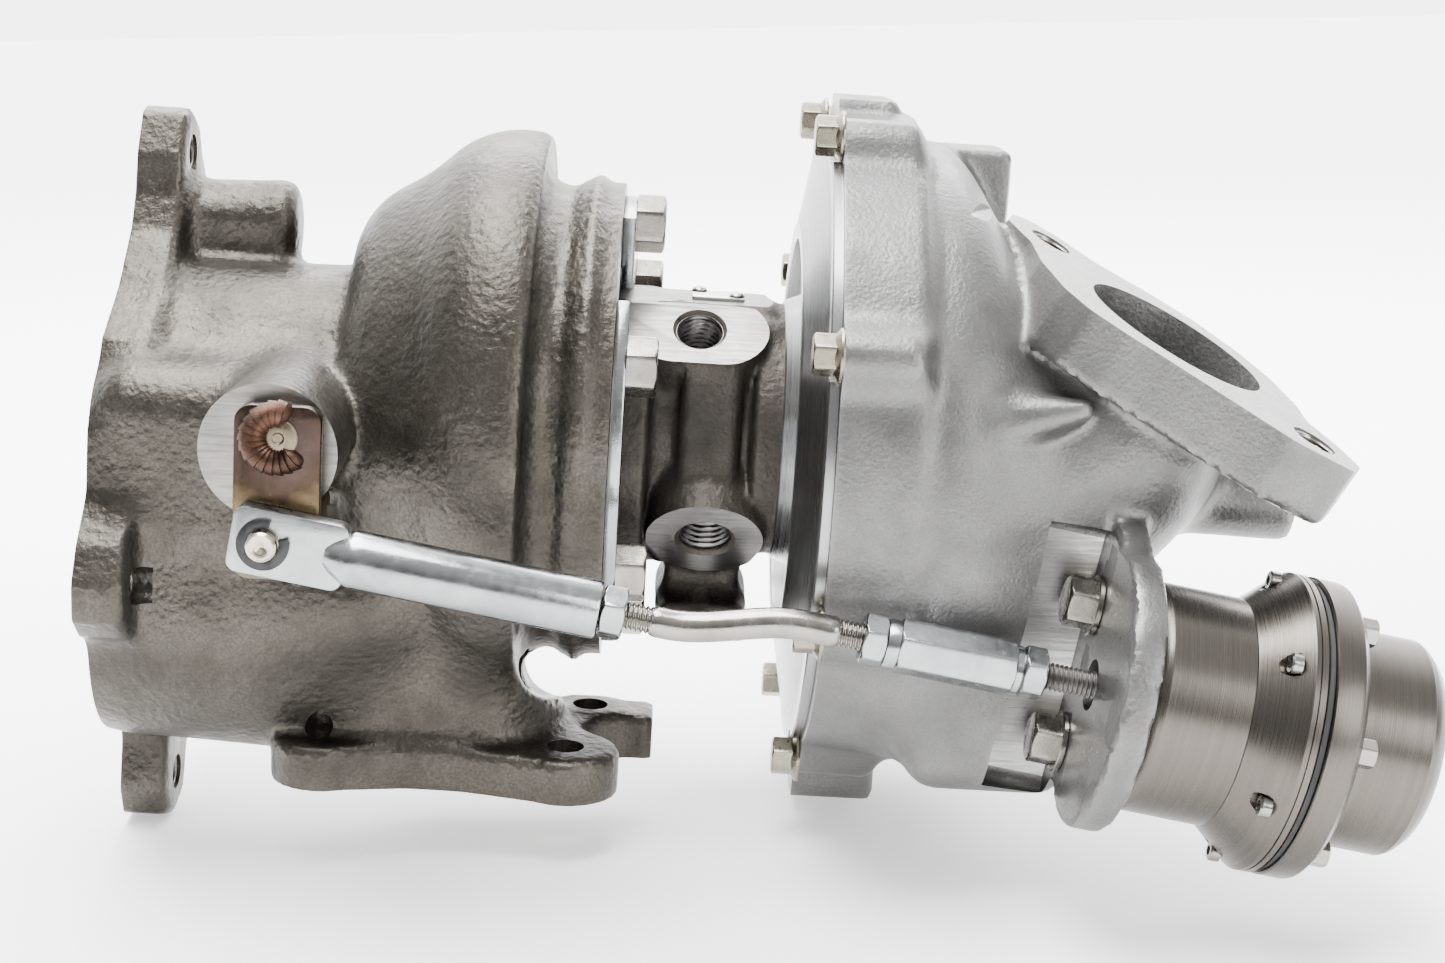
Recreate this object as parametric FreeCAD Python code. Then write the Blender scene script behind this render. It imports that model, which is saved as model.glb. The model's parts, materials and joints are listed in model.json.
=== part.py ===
import FreeCAD, Part
import math
import os

# A car turbocharger. Millimetres. The shaft axis is the X axis, running from the exhaust outlet
# flange (X = 0) towards the compressor inlet. Y points away from the wastegate linkage, Z is up.

V = FreeCAD.Vector
ORIGIN = V(0, 0, 0)
X_DIR = V(1, 0, 0)
Y_DIR = V(0, 1, 0)
Z_DIR = V(0, 0, 1)
JOIN = 0.5                      # how far joined shapes run into each other

# Exhaust (turbine) housing
OUTLET_FLANGE_T = 11.0
OUTLET_LOBES = [(8, 57, 9.5), (-50, -34, 10), (-3, -94, 11), (47, 28, 10), (41, -64, 10)]
OUTLET_STUD_R = 4.25
OUTLET_BORE_R = 30.0
CHAMBER_R = 31.5                # the hollow behind the outlet's mouth
CHAMBER_WALL = 3.5
SHIELD_R = 32.5
WASTEGATE_MOUTH = (-22, -28, 18)
TURBINE_FACE_X = 114.0
SHIELD_X = 108.0                # the step that the heat shield's rim lies on
CENTRE_NOSE_X = 109.0           # where the centre housing starts
SCROLL_X = 88.0
SCROLL_R = 41.0
SCROLL_TUBE_R = 25.0
RIM_R = 56.5
RIM_T = 10.0
INLET_FACE_Z = -81.5
INLET_FLANGE_T = 10.5
INLET_CENTRE = (78.0, -17.0)
INLET_R = 19.0
INLET_LOBES = [(51.0, -35.0, 11.0), (107.5, -35.0, 11.0), (112.0, -5.0, 9.0)]
INLET_BOLT_R = 4.3

# Wastegate: the flapper shaft lies along Y, in a machined round boss
BOSS_X = 44.1
BOSS_Z = 3.1
BOSS_R = 14.5
BOSS_FACE_Y = -74.5
BUSH_END_Y = -77.7
SHAFT_X = 47.6
SHAFT_Z = 7.6
SHAFT_R = 3.95
BUSH_BORE_R = 4.0
BUSH_R = 6.5
LEVER_PIN_X = 45.8
LEVER_PIN_Z = -13.5
LEVER_T = 3.0
LEVER_Y = -78.2                 # the lever's inner face
LINK_Y = -84.0                  # the plane that the linkage and the actuator lie in
TONGUE_T = 5.0
CLIP_Y = LINK_Y - TONGUE_T / 2 - 0.2
PIN_END_Y = CLIP_Y - 3.2
PORT_X = 53.0                   # the flapper's seat
PORT_Y = -28.0
PORT_Z = -20.0
PORT_R = 11.0

# Centre housing and its clamps
CLAMP_T = 3.0
CLAMP_RING_R = 35.0
CLAMP_LIP_R = 40.0
CLAMP_BOLT_R = 48.0
CLAMP_BOLT_START = 5.0          # degrees from the top, towards -Y
BEARING_BORE_R = 7.55
BEARING_R = 7.50
JOURNAL_R = 4.50
JOURNAL_GAP = 0.04
BEARINGS_X = [(115.0, 123.5), (137.5, 146.0)]
CENTRE_FLANGE_R = 30.0
PORT_PAD_H = 33.0               # how far the port pads stand from the shaft axis
FEED_ANGLE = 52.0               # the oil feed pad faces -Y, this far above level
FEED_X = 133.0
FEED_HOLE_R = 5.35
COOLANT_ANGLE = -43.0
COOLANT_X = 137.0
COOLANT_HOLE_R = 6.2
DRAIN_Z = -47.0
DRAIN_FOOT_T = 9.0
DRAIN_X = 137.0
DRAIN_R = 8.0
DRAIN_BOLT_SPACING = 34.0
DRAIN_BOLT_R = 3.4

# Compressor side
BACKPLATE_X = 153.0
PARTING_X = 162.0
COVER_RIM_R = 77.0
COVER_BOLT_R = 78.2
COVER_BOLT_START = 22.5
COVER_BOLTS = 8
BOLT_FLANGE_R = 5.6
REGISTER_R = 72.0
VOLUTE_X = 180.0
VOLUTE_R = 52.0
VOLUTE_TUBE_R = 19.0
AIR_INLET_R = 26.0              # the hose seat
AIR_INLET_STOP_R = 27.0
AIR_INLET_STOP_X = 229.0
AIR_INLET_BORE = 24.0
AIR_INLET_END = 240.0
DISCHARGE_CENTRE = V(235.9, -50.0, 35.0)
DISCHARGE_NORMAL = V(0.424, -0.151, 0.893).normalize()
DISCHARGE_LONG = V(0.618, -0.672, -0.407).normalize()
DISCHARGE_BORE_R = 21.0
DISCHARGE_T = 18.3
DISCHARGE_HOLE_A = 39.9
MOUTH_DEPTH = 12.0
INSERT_DEPTH = 14.0
DUCT_R = 19.0                   # the passage below the discharge mouth
DUCT_WALL = 4.5
STUB_Y = -36.5                  # the hose stub beside the air inlet
STUB_Z = -2.6
STUB_R = 9.0
STUB_SEAT_R = 8.4
STUB_SEAT_X = 250.0
STUB_BORE_R = 6.4
STUB_END = 268.0
DISCHARGE_LOBE_R = 11.8
INSERT_R = 4.9
INSERT_BORE_R = 3.9

# Actuator: its axis leans down by LEAN towards +X
LEAN = math.radians(8.8)
ACT = V(math.cos(LEAN), 0, -math.sin(LEAN))
ACT_UP = V(math.sin(LEAN), 0, math.cos(LEAN))
ACT_START = V(224.7, LINK_Y, -35.5)      # centre of the body's end, on the bracket's face
BRACKET_T = 7.0
BRACKET_R = 29.7
CAN_R = 24.2
RING_R = 31.6
CAP_R = 23.0
ROD_R = 3.0
ACT_BOLTS = [(12.0, 14.0), (12.0, -17.0)]


def save(name, shape):
    """Writes one node."""
    shape.exportStep(os.path.join("parts", name + ".step"))


def rod_between(start, end, radius):
    """A round bar from one point to another."""
    along = end - start
    return Part.makeCylinder(radius, along.Length, start, along)


def bar_x(x0, x1, radius, y=0.0, z=0.0):
    """A round bar along X."""
    return rod_between(V(x0, y, z), V(x1, y, z), radius)


def bar_y(y0, y1, radius, x, z):
    """A round bar along Y."""
    return rod_between(V(x, y0, z), V(x, y1, z), radius)


def tube_x(x0, x1, inner, outer, y=0.0, z=0.0):
    """A plain sleeve along X."""
    sleeve = bar_x(x0, x1, outer, y, z)
    return sleeve.cut(bar_x(x0 - 1, x1 + 1, inner, y, z))


def box(x0, x1, y0, y1, z0, z1):
    """A box given by its limits."""
    return Part.makeBox(x1 - x0, y1 - y0, z1 - z0, V(x0, y0, z0))


def turned(outline):
    """Turns an outline of (x, radius) points about the X axis."""
    points = [V(x, 0, r) for x, r in outline]
    face = Part.Face(Part.makePolygon(points + points[:1]))
    return face.revolve(ORIGIN, X_DIR, 360)


def ring_x(x, ring_r, tube_r, y=0.0, z=0.0):
    """A torus around a line along X."""
    return Part.makeTorus(ring_r, tube_r, V(x, y, z), X_DIR)


def fused(shapes):
    """Joins shapes into one solid."""
    return shapes[0].multiFuse(shapes[1:]).removeSplitter()


def placed(shape, origin, x_dir, y_dir):
    """Moves a shape drawn in XY to a plane given by its origin and two directions."""
    z_dir = x_dir.cross(y_dir)
    matrix = FreeCAD.Matrix(
        x_dir.x, y_dir.x, z_dir.x, origin.x,
        x_dir.y, y_dir.y, z_dir.y, origin.y,
        x_dir.z, y_dir.z, z_dir.z, origin.z,
        0, 0, 0, 1)
    moved = shape.copy()
    moved.transformShape(matrix, True)
    return moved


def strap(start, end, thickness):
    """A flat link in XY around two circles (x, y, r), from z = 0 up."""
    x0, y0, r0 = start
    x1, y1, r1 = end
    heading = math.atan2(y1 - y0, x1 - x0)
    spread = math.acos((r0 - r1) / math.hypot(x1 - x0, y1 - y0))
    ends = []
    for side in (spread, -spread):
        unit = V(math.cos(heading + side), math.sin(heading + side), 0)
        ends.append((V(x0, y0, 0) + unit * r0, V(x1, y1, 0) + unit * r1))
    back = V(x0 - r0 * math.cos(heading), y0 - r0 * math.sin(heading), 0)
    front = V(x1 + r1 * math.cos(heading), y1 + r1 * math.sin(heading), 0)
    (upper0, upper1), (lower0, lower1) = ends
    edges = [
        Part.makeLine(upper0, upper1),
        Part.Arc(upper1, front, lower1).toShape(),
        Part.makeLine(lower1, lower0),
        Part.Arc(lower0, back, upper0).toShape()]
    return Part.Face(Part.Wire(edges)).extrude(V(0, 0, thickness))


def plate_x(straps, x, thickness):
    """A plate of straps given in (y, z), from x towards +X."""
    pieces = [strap(start, end, thickness) for start, end in straps]
    return placed(fused(pieces), V(x, 0, 0), Y_DIR, Z_DIR)


def plate_z(straps, z, thickness):
    """A plate of straps given in (x, y), from z up."""
    pieces = [strap(start, end, thickness) for start, end in straps]
    return placed(fused(pieces), V(0, 0, z), X_DIR, Y_DIR)


def hex_bar(start, axis, across, length):
    """A hexagonal bar; across is the distance over its flats."""
    axis = V(axis).normalize()
    side = axis.cross(Y_DIR if abs(axis.y) < 0.9 else X_DIR).normalize()
    corner_r = across / math.sqrt(3)
    corners = []
    for k in range(6):
        turn = math.radians(60 * k)
        corners.append(V(corner_r * math.cos(turn), corner_r * math.sin(turn), 0))
    face = Part.Face(Part.makePolygon(corners + corners[:1]))
    return placed(face.extrude(V(0, 0, length)), start, side, axis.cross(side))


def hex_bolt(under_head, axis, shank_r, shank_l, across, head_h, flange_r=0.0):
    """A hexagon bolt: its head points along axis from under_head, its shank the other way."""
    axis = V(axis).normalize()
    pieces = [rod_between(under_head + axis * JOIN, under_head - axis * shank_l, shank_r)]
    pieces.append(hex_bar(under_head, axis, across, head_h))
    if flange_r:
        pieces.append(rod_between(under_head, under_head + axis * 1.2, flange_r))
    return fused(pieces)


def nut(start, axis, across, length, bore_r):
    """A hexagon nut."""
    body = hex_bar(start, axis, across, length)
    axis = V(axis).normalize()
    return body.cut(rod_between(start - axis, start + axis * (length + 1), bore_r))


def around(angle, radius, x):
    """A point on a circle about the shaft; the angle in degrees runs from the top towards -Y."""
    turn = math.radians(angle)
    return V(x, -radius * math.sin(turn), radius * math.cos(turn))


def on_act(s, across=0.0, up=0.0):
    """A point in the actuator's own directions: along its axis, along Y, and up."""
    return ACT_START + ACT * s + Y_DIR * across + ACT_UP * up


def bend(start, direction, end, radius):
    """A round bar along the arc that leaves start in a direction and reaches end."""
    chord = end - start
    direction = V(direction).normalize()
    normal = (chord - direction * chord.dot(direction)).normalize()
    bend_r = chord.dot(chord) / (2 * chord.dot(normal))
    centre = start + normal * bend_r
    angle = 2 * math.degrees(math.asin(chord.Length / (2 * bend_r)))
    section = Part.Face(Part.Wire(Part.makeCircle(radius, start, direction)))
    return section.revolve(centre, direction.cross(normal), angle)


# ---------------------------------------------------------------- turbine side

def outlet_flange():
    """The five-lobed exhaust outlet flange."""
    upper = (0, 0, 38)
    lower = (-3, -38, 33)
    hubs = [upper, upper, lower, upper, lower]
    straps = [(upper, lower), (lower, (-47, -34, 10))]
    straps += list(zip(hubs, OUTLET_LOBES))
    return plate_x(straps, 0, OUTLET_FLANGE_T)


def inlet_flange():
    """The three-bolt exhaust inlet flange with its stepped end block."""
    left, right, far = INLET_LOBES
    middle = (INLET_CENTRE[0], INLET_CENTRE[1], INLET_R + 8)
    plate = plate_z([(middle, left), (middle, right), (middle, far)], INLET_FACE_Z, INLET_FLANGE_T)
    block = box(108, 127.5, -11, 3, INLET_FACE_Z, INLET_FACE_Z + INLET_FLANGE_T)
    return fused([plate, block])


def turbine_solid():
    """The outside of the exhaust housing, without its passages."""
    chamber_r = CHAMBER_R + CHAMBER_WALL
    chamber = plate_x([((0, 0, chamber_r), (-6, -50, 32))], OUTLET_FLANGE_T - JOIN, 45)
    stud_column = bar_x(5, 36, 8, 8, 43.5)
    boss = bar_y(BOSS_FACE_Y, -10, BOSS_R, BOSS_X, BOSS_Z)
    shoulder = ring_x(66, 33, 18)
    scroll = ring_x(SCROLL_X, SCROLL_R, SCROLL_TUBE_R, 0, 2)
    core = bar_x(40, TURBINE_FACE_X - 2, 45)
    rim = bar_x(TURBINE_FACE_X - RIM_T, TURBINE_FACE_X, RIM_R)
    centre_x, centre_y = INLET_CENTRE
    throat = plate_z([((centre_x - 12, centre_y, 24), (centre_x + 12, centre_y, 24))],
                     INLET_FACE_Z + INLET_FLANGE_T - JOIN, 60)
    return fused([outlet_flange(), chamber, stud_column, boss, shoulder, scroll, core, rim, throat,
                  inlet_flange()])


def turbine_passages():
    """Everything that is hollow in the exhaust housing."""
    cuts = [bar_x(-1, 12, OUTLET_BORE_R)]
    cuts.append(bar_x(-1, 12, WASTEGATE_MOUTH[2], WASTEGATE_MOUTH[0], WASTEGATE_MOUTH[1]))
    cuts.append(plate_x([((0, 0, CHAMBER_R), (-18, -22, 26))], 11.9, PORT_X - 11.9))
    cuts.append(turned([(PORT_X - 1, 0), (PORT_X - 1, 24), (66, 21.3), (79, 21.8), (83.5, 24.1),
                        (83.5, 45), (93.2, 45), (93.2, SHIELD_R + 0.5), (SHIELD_X, SHIELD_R + 0.5),
                        (SHIELD_X, CLAMP_LIP_R + 0.3), (TURBINE_FACE_X + 1, CLAMP_LIP_R + 0.3),
                        (TURBINE_FACE_X + 1, 0)]))
    cuts.append(ring_x(SCROLL_X - 2, 47, 13))
    centre_x, centre_y = INLET_CENTRE
    cuts.append(rod_between(V(centre_x, centre_y, INLET_FACE_Z - 1),
                            V(centre_x, centre_y, -40), INLET_R))
    cuts.append(bar_x(PORT_X - 1, centre_x, PORT_R, PORT_Y, PORT_Z))
    cuts.append(rod_between(V(centre_x - 6, PORT_Y, PORT_Z), V(centre_x, centre_y, -50), PORT_R))
    return cuts


def turbine_holes():
    """Bolt holes and the bushing's bore."""
    cuts = []
    for y, z, _ in OUTLET_LOBES:
        cuts.append(bar_x(-1, 22, OUTLET_STUD_R, y, z))
    for x, y, _ in INLET_LOBES:
        cuts.append(rod_between(V(x, y, INLET_FACE_Z - 1),
                                V(x, y, INLET_FACE_Z + INLET_FLANGE_T), INLET_BOLT_R))
    cuts.append(bar_y(BOSS_FACE_Y - 1, -20, BUSH_R, SHAFT_X, SHAFT_Z))
    for k in range(6):
        angle = CLAMP_BOLT_START + 60 * k
        cuts.append(rod_between(around(angle, CLAMP_BOLT_R, TURBINE_FACE_X - 12),
                                around(angle, CLAMP_BOLT_R, TURBINE_FACE_X + 1), 3.4))
    return cuts


def turbine_housing():
    """The exhaust housing, one iron casting."""
    solid = turbine_solid()
    for cut in turbine_passages() + turbine_holes():
        solid = solid.cut(cut)
    return solid


def arc_plate(start, end, inner, outer, x, thickness):
    """A flat arc about the shaft, between two angles from the top."""
    corners = [around(start, inner, x), around(start, outer, x),
               around(end, outer, x), around(end, inner, x)]
    middle = (start + end) / 2
    edges = [
        Part.makeLine(corners[0], corners[1]),
        Part.Arc(corners[1], around(middle, outer, x), corners[2]).toShape(),
        Part.makeLine(corners[2], corners[3]),
        Part.Arc(corners[3], around(middle, inner, x), corners[0]).toShape()]
    return Part.Face(Part.Wire(edges)).extrude(V(thickness, 0, 0))


def clamp_plates():
    """Three arcs that hold the centre housing in the exhaust housing."""
    plates = []
    for k in (-1, 1, 3):
        first = CLAMP_BOLT_START + 60 * k
        plate = arc_plate(first - 15, first + 75, CLAMP_RING_R + 0.5, 53.5, TURBINE_FACE_X, CLAMP_T)
        for angle in (first, first + 60):
            hole = rod_between(around(angle, CLAMP_BOLT_R, TURBINE_FACE_X - 1),
                               around(angle, CLAMP_BOLT_R, TURBINE_FACE_X + CLAMP_T + 1), 3.4)
            plate = plate.cut(hole)
        plates.append(plate)
    return Part.makeCompound(plates)


def turbine_bolts():
    """The six bolts over the clamp plates."""
    bolts = []
    for k in range(6):
        head = around(CLAMP_BOLT_START + 60 * k, CLAMP_BOLT_R, TURBINE_FACE_X + CLAMP_T)
        bolts.append(hex_bolt(head, X_DIR, 3.3, 13, 12.0, 5.8))
    return Part.makeCompound(bolts)


# ---------------------------------------------------------------- wastegate

def wastegate_bushing():
    """The sleeve that the flapper shaft turns in."""
    sleeve = bar_y(BUSH_END_Y, -33, BUSH_R - 0.01, SHAFT_X, SHAFT_Z)
    return sleeve.cut(bar_y(BUSH_END_Y - 1, -32, BUSH_BORE_R, SHAFT_X, SHAFT_Z))


def wastegate_shaft():
    """The flapper shaft with its crank arm, one piece."""
    shaft = bar_y(LEVER_Y - LEVER_T - 0.6, -22, SHAFT_R, SHAFT_X, SHAFT_Z)
    arm = strap((SHAFT_X, SHAFT_Z, 6.0), (PORT_X - 13.4, PORT_Z, 3.0), 6.0)
    arm = placed(arm, V(0, -22.5, 0), X_DIR, Z_DIR)
    pad = bar_x(PORT_X - 17, PORT_X - 8.5, 6.5, PORT_Y, PORT_Z)
    shape = fused([shaft, arm, pad])
    return shape.cut(bar_x(PORT_X - 20, PORT_X - 7, 2.6, PORT_Y, PORT_Z))


def wastegate_flapper():
    """The valve disc and its stud."""
    disc = bar_x(PORT_X - 3.7, PORT_X - 0.3, 13.5, PORT_Y, PORT_Z)
    crown = bar_x(PORT_X - 8.3, PORT_X - 3, 4.0, PORT_Y, PORT_Z)
    stud = bar_x(PORT_X - 19.5, PORT_X - 8, 2.5, PORT_Y, PORT_Z)
    return fused([disc, crown, stud])


def flapper_washer():
    """The washer that is riveted over the flapper's stud."""
    return tube_x(PORT_X - 18.7, PORT_X - 17.1, 2.52, 5.5, PORT_Y, PORT_Z)


def wastegate_lever():
    """The flat lever outside the housing."""
    plate = box(38.4, 56.2, LEVER_Y - LEVER_T, LEVER_Y, -22.5, 14.2)
    corners = [e for e in plate.Edges if abs(e.tangentAt(0).y) > 0.9]
    plate = plate.makeFillet(3.0, corners)
    plate = plate.cut(bar_y(LEVER_Y - 5, LEVER_Y + 1, SHAFT_R + 0.02, SHAFT_X, SHAFT_Z))
    return plate.cut(bar_y(LEVER_Y - 5, LEVER_Y + 1, 3.02, LEVER_PIN_X, LEVER_PIN_Z))


def lever_weld():
    """The weld bead between the lever and the shaft's end."""
    bead = Part.makeSphere(6.5, V(SHAFT_X - 2.2, LEVER_Y - LEVER_T + 4.5, SHAFT_Z - 0.6))
    bead = bead.cut(box(30, 70, LEVER_Y - LEVER_T, -40, -20, 30))
    return bead.cut(bar_y(LEVER_Y - LEVER_T - 5, LEVER_Y, SHAFT_R + 0.02, SHAFT_X, SHAFT_Z))


def lever_pin():
    """The pin that the clevis turns on, with a groove for its clip."""
    shank = bar_y(PIN_END_Y, LEVER_Y, 3.0, LEVER_PIN_X, LEVER_PIN_Z)
    shank = shank.cut(bar_y(CLIP_Y - 0.9, CLIP_Y, 3.5, LEVER_PIN_X, LEVER_PIN_Z))
    return fused([shank, bar_y(CLIP_Y - 2, CLIP_Y + 1, 2.4, LEVER_PIN_X, LEVER_PIN_Z)])


def e_clip():
    """The clip in the pin's groove, open on one side."""
    clip = bar_y(CLIP_Y - 0.8, CLIP_Y - 0.1, 5.6, LEVER_PIN_X, LEVER_PIN_Z)
    clip = clip.cut(bar_y(CLIP_Y - 2, CLIP_Y + 1, 2.45, LEVER_PIN_X, LEVER_PIN_Z))
    mouth = box(LEVER_PIN_X - 2, LEVER_PIN_X + 2, CLIP_Y - 2, CLIP_Y + 1,
                LEVER_PIN_Z - 8, LEVER_PIN_Z)
    return clip.cut(mouth)


# ---------------------------------------------------------------- link rod

PIN = V(LEVER_PIN_X, LINK_Y, LEVER_PIN_Z)
JOG = (ACT_START - PIN).dot(ACT_UP)      # how far the bent rod steps from the pin's line
ACT_START_S = (ACT_START - PIN).dot(ACT)


def on_link(s, up=0.0):
    """A point s along the link from the pin, parallel to the actuator's axis."""
    return PIN + ACT * s + ACT_UP * up


def rod_end_clevis():
    """The flat eye with its long round barrel."""
    tongue = box(-7.0, 17.0, -TONGUE_T / 2, TONGUE_T / 2, -7.0, 7.0)
    tongue = tongue.makeFillet(2.5, [e for e in tongue.Edges if abs(e.tangentAt(0).y) > 0.9])
    taper = Part.makeCone(3.4, 6.0, 6.0, V(13.5, 0, 0), X_DIR)
    barrel = bar_x(19.5, 69.6, 6.0)
    shape = fused([tongue, taper, barrel])
    shape = shape.cut(bar_y(-4, 4, 3.08, 0, 0))
    shape = shape.cut(bar_x(50, 71, ROD_R + 0.02))
    return placed(shape, PIN, ACT, Y_DIR)


def bent_link_rod():
    """The threaded rod with a step that joins the two lines."""
    near, far = on_link(84), on_link(112, JOG)
    middle = (near + far) * 0.5
    return fused([rod_between(on_link(52), near, ROD_R),
                  bend(near, ACT, middle, ROD_R),
                  bend(far, ACT * -1, middle, ROD_R),
                  rod_between(far, on_link(142, JOG), ROD_R)])


def turnbuckle():
    """The long hexagonal adjuster between the two threads."""
    return nut(on_link(129.0, JOG), ACT, 10.5, 29.0, ROD_R + 0.02)


def actuator_rod():
    """The threaded rod from the adjuster to the diaphragm."""
    return rod_between(on_link(145.0, JOG), on_act(37.0), ROD_R)


# ---------------------------------------------------------------- centre housing

def pad_frame(angle, x):
    """The centre of a port pad, and its outward direction."""
    turn = math.radians(angle)
    outward = V(0, -math.cos(turn), math.sin(turn))
    return V(x, 0, 0), outward


def port_pad(angle, x, start, end):
    """A stadium-shaped pad that stands on the centre housing, between two circles along X."""
    base, outward = pad_frame(angle, 0)
    across = outward.cross(X_DIR)
    block = strap(start, end, PORT_PAD_H - 6)
    return placed(block, base + outward * 6, X_DIR, across)


def centre_housing():
    """The oil-fed bearing housing."""
    body = turned([(CENTRE_NOSE_X, 0), (CENTRE_NOSE_X, CLAMP_LIP_R), (TURBINE_FACE_X, CLAMP_LIP_R),
                   (TURBINE_FACE_X, CLAMP_RING_R), (122, CLAMP_RING_R), (124, 23), (145, 23),
                   (147, CENTRE_FLANGE_R), (BACKPLATE_X, CENTRE_FLANGE_R), (BACKPLATE_X, 0)])
    feed_pad = port_pad(FEED_ANGLE, FEED_X, (127.3, 0, 10.3), (138.2, 0, 10.3))
    coolant_pad = port_pad(COOLANT_ANGLE, COOLANT_X, (136.5, 0, 13.2), (137.0, 0, 13.2))
    name_flat = box(128, 146, -4, 12, 15, 30.5)
    drain_neck = box(127, 147.5, -13, 13, DRAIN_Z, -14)
    drain_foot = box(127, 147.5, -23, 23, DRAIN_Z, DRAIN_Z + DRAIN_FOOT_T)
    solid = fused([body, feed_pad, coolant_pad, name_flat, drain_neck, drain_foot])
    for cut in centre_cuts():
        solid = solid.cut(cut)
    return solid


def centre_cuts():
    """The bearing bore, oil ways and ports of the centre housing."""
    cuts = [turned([(105, 0), (105, 8.6), (111, 8.6), (111, BEARING_BORE_R), (147, BEARING_BORE_R),
                    (147, 19), (154, 19), (154, 0)])]
    cuts.append(bar_x(125.5, 135.5, 13))
    cuts.append(rod_between(V(DRAIN_X, 0, DRAIN_Z - 1), V(DRAIN_X, 0, -10), DRAIN_R))
    cuts.append(bar_x(130, DRAIN_X, 6, 0, -8))
    for side in (-1, 1):
        y = side * DRAIN_BOLT_SPACING / 2
        cuts.append(rod_between(V(DRAIN_X, y, DRAIN_Z - 1), V(DRAIN_X, y, DRAIN_Z + 10), DRAIN_BOLT_R))
    for angle, x, hole_r, depth in ((FEED_ANGLE, FEED_X, FEED_HOLE_R, 13.0),
                                    (COOLANT_ANGLE, COOLANT_X, COOLANT_HOLE_R, 14.0)):
        base, outward = pad_frame(angle, x)
        cuts.append(rod_between(base + outward * (PORT_PAD_H - depth),
                                base + outward * (PORT_PAD_H + 1), hole_r))
    base, outward = pad_frame(FEED_ANGLE, FEED_X)
    cuts.append(rod_between(base, base + outward * 25, 2.0))
    return cuts


def nameplate():
    """A blank plate on the flat on top."""
    return box(131, 143.5, -3, 9, 30.5, 31.3)


def nameplate_rivets():
    """Two domed rivets that hold the blank plate."""
    rivets = []
    for x, y in ((141.6, -0.8), (132.8, 6.8)):
        dome = Part.makeSphere(1.9, V(x, y, 30.6))
        rivets.append(dome.cut(box(x - 3, x + 3, y - 3, y + 3, 25, 31.3)))
    return Part.makeCompound(rivets)


def heat_shield():
    """The thin dished shield behind the turbine wheel."""
    inner_r = SHIELD_R - 0.8
    return turned([(101.5, 12), (101.5, SHIELD_R), (SHIELD_X, SHIELD_R), (SHIELD_X, 37),
                   (CENTRE_NOSE_X, 37), (CENTRE_NOSE_X, inner_r), (102.3, inner_r), (102.3, 12)])


def journal_bearing(ends):
    """A floating bronze bush."""
    return tube_x(ends[0], ends[1], JOURNAL_R + JOURNAL_GAP, BEARING_R)


def bearing_snap_rings():
    """Open rings that keep the two bushes apart."""
    rings = []
    for x in (123.9, 136.1):
        ring = tube_x(x, x + 1.0, 5.6, BEARING_BORE_R - 0.02)
        rings.append(ring.cut(box(x - 1, x + 2, -1.5, 1.5, 4, 9)))
    return Part.makeCompound(rings)


def thrust_bearing():
    """The bronze plate that takes the shaft's end thrust."""
    return tube_x(148.6, 150.6, 6.4, 18.9)


def seal_plate():
    """The plate that closes the oil space on the compressor side."""
    return tube_x(150.9, 152.9, 9.1, 18.9)


def piston_ring(x, outer, inner):
    """A sprung seal ring with a narrow gap."""
    ring = tube_x(x, x + 1.2, inner, outer)
    return ring.cut(box(x - 1, x + 3, -0.4, 0.4, inner - 1, outer + 1))


# ---------------------------------------------------------------- rotor

def wheel_blades(count, start, end, hub_r, tip, lean):
    """Thin curved blades between the hub and a turned envelope."""
    blades = []
    for k in range(count):
        inner = V(start, 0, hub_r - 2)
        blade = box(start, end, -0.5, 0.5, hub_r - 2, tip)
        blade.rotate(inner, Z_DIR, lean)
        blade.rotate(ORIGIN, X_DIR, 360.0 * k / count)
        blades.append(blade)
    return blades


def turbine_wheel_shaft():
    """The turbine wheel with the shaft welded to it."""
    hub = turned([(66, 0), (66, 6), (80, 8), (91, 19), (93, 23.5), (95, 23.5), (95, 8.3), (105, 8.3),
                  (110.5, 8.3), (110.5, JOURNAL_R), (198, JOURNAL_R), (198, 0)])
    envelope = turned([(68, 0), (68, 20.8), (79, 21.3), (83.5, 23.5), (93, 23.5), (93, 0)])
    blades = [b.common(envelope) for b in wheel_blades(11, 66, 92.5, 6, 24, 12)]
    shape = fused([hub] + blades)
    groove = tube_x(107.0, 108.5, 7.2, 9)
    return shape.cut(groove)


def thrust_collar():
    """The collar that turns with the shaft against the thrust plate."""
    return turned([(147.2, 4.52), (147.2, 12), (148.4, 12), (148.4, 6.2), (150.8, 6.2), (150.8, 4.52)])


def oil_flinger():
    """The sleeve behind the compressor wheel that throws oil off the shaft."""
    sleeve = turned([(150.9, 4.52), (150.9, 8.8), (165.8, 8.8), (165.8, 4.52)])
    return sleeve.cut(tube_x(161.0, 162.5, 7.6, 10))


def compressor_wheel():
    """The compressor wheel."""
    hub = turned([(166.0, 4.52), (166.0, 33.8), (167.2, 33.8), (172, 18), (180, 11), (192, 8),
                  (196, 7.5), (196, 4.52)])
    envelope = turned([(166.5, 5), (166.5, 33.8), (169.5, 33.8), (173, 28.3), (178, 24.2),
                       (186, 23.6), (194, 23.6), (194, 5)])
    blades = [b.common(envelope) for b in wheel_blades(12, 166.5, 194, 7, 36, -14)]
    return fused([hub] + blades).cut(bar_x(150, 200, 4.52))


def compressor_lock_nut():
    """The nut on the shaft's end."""
    return nut(V(196.1, 0, 0), X_DIR, 10.0, 6.0, JOURNAL_R + 0.02)


# ---------------------------------------------------------------- compressor side

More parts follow.
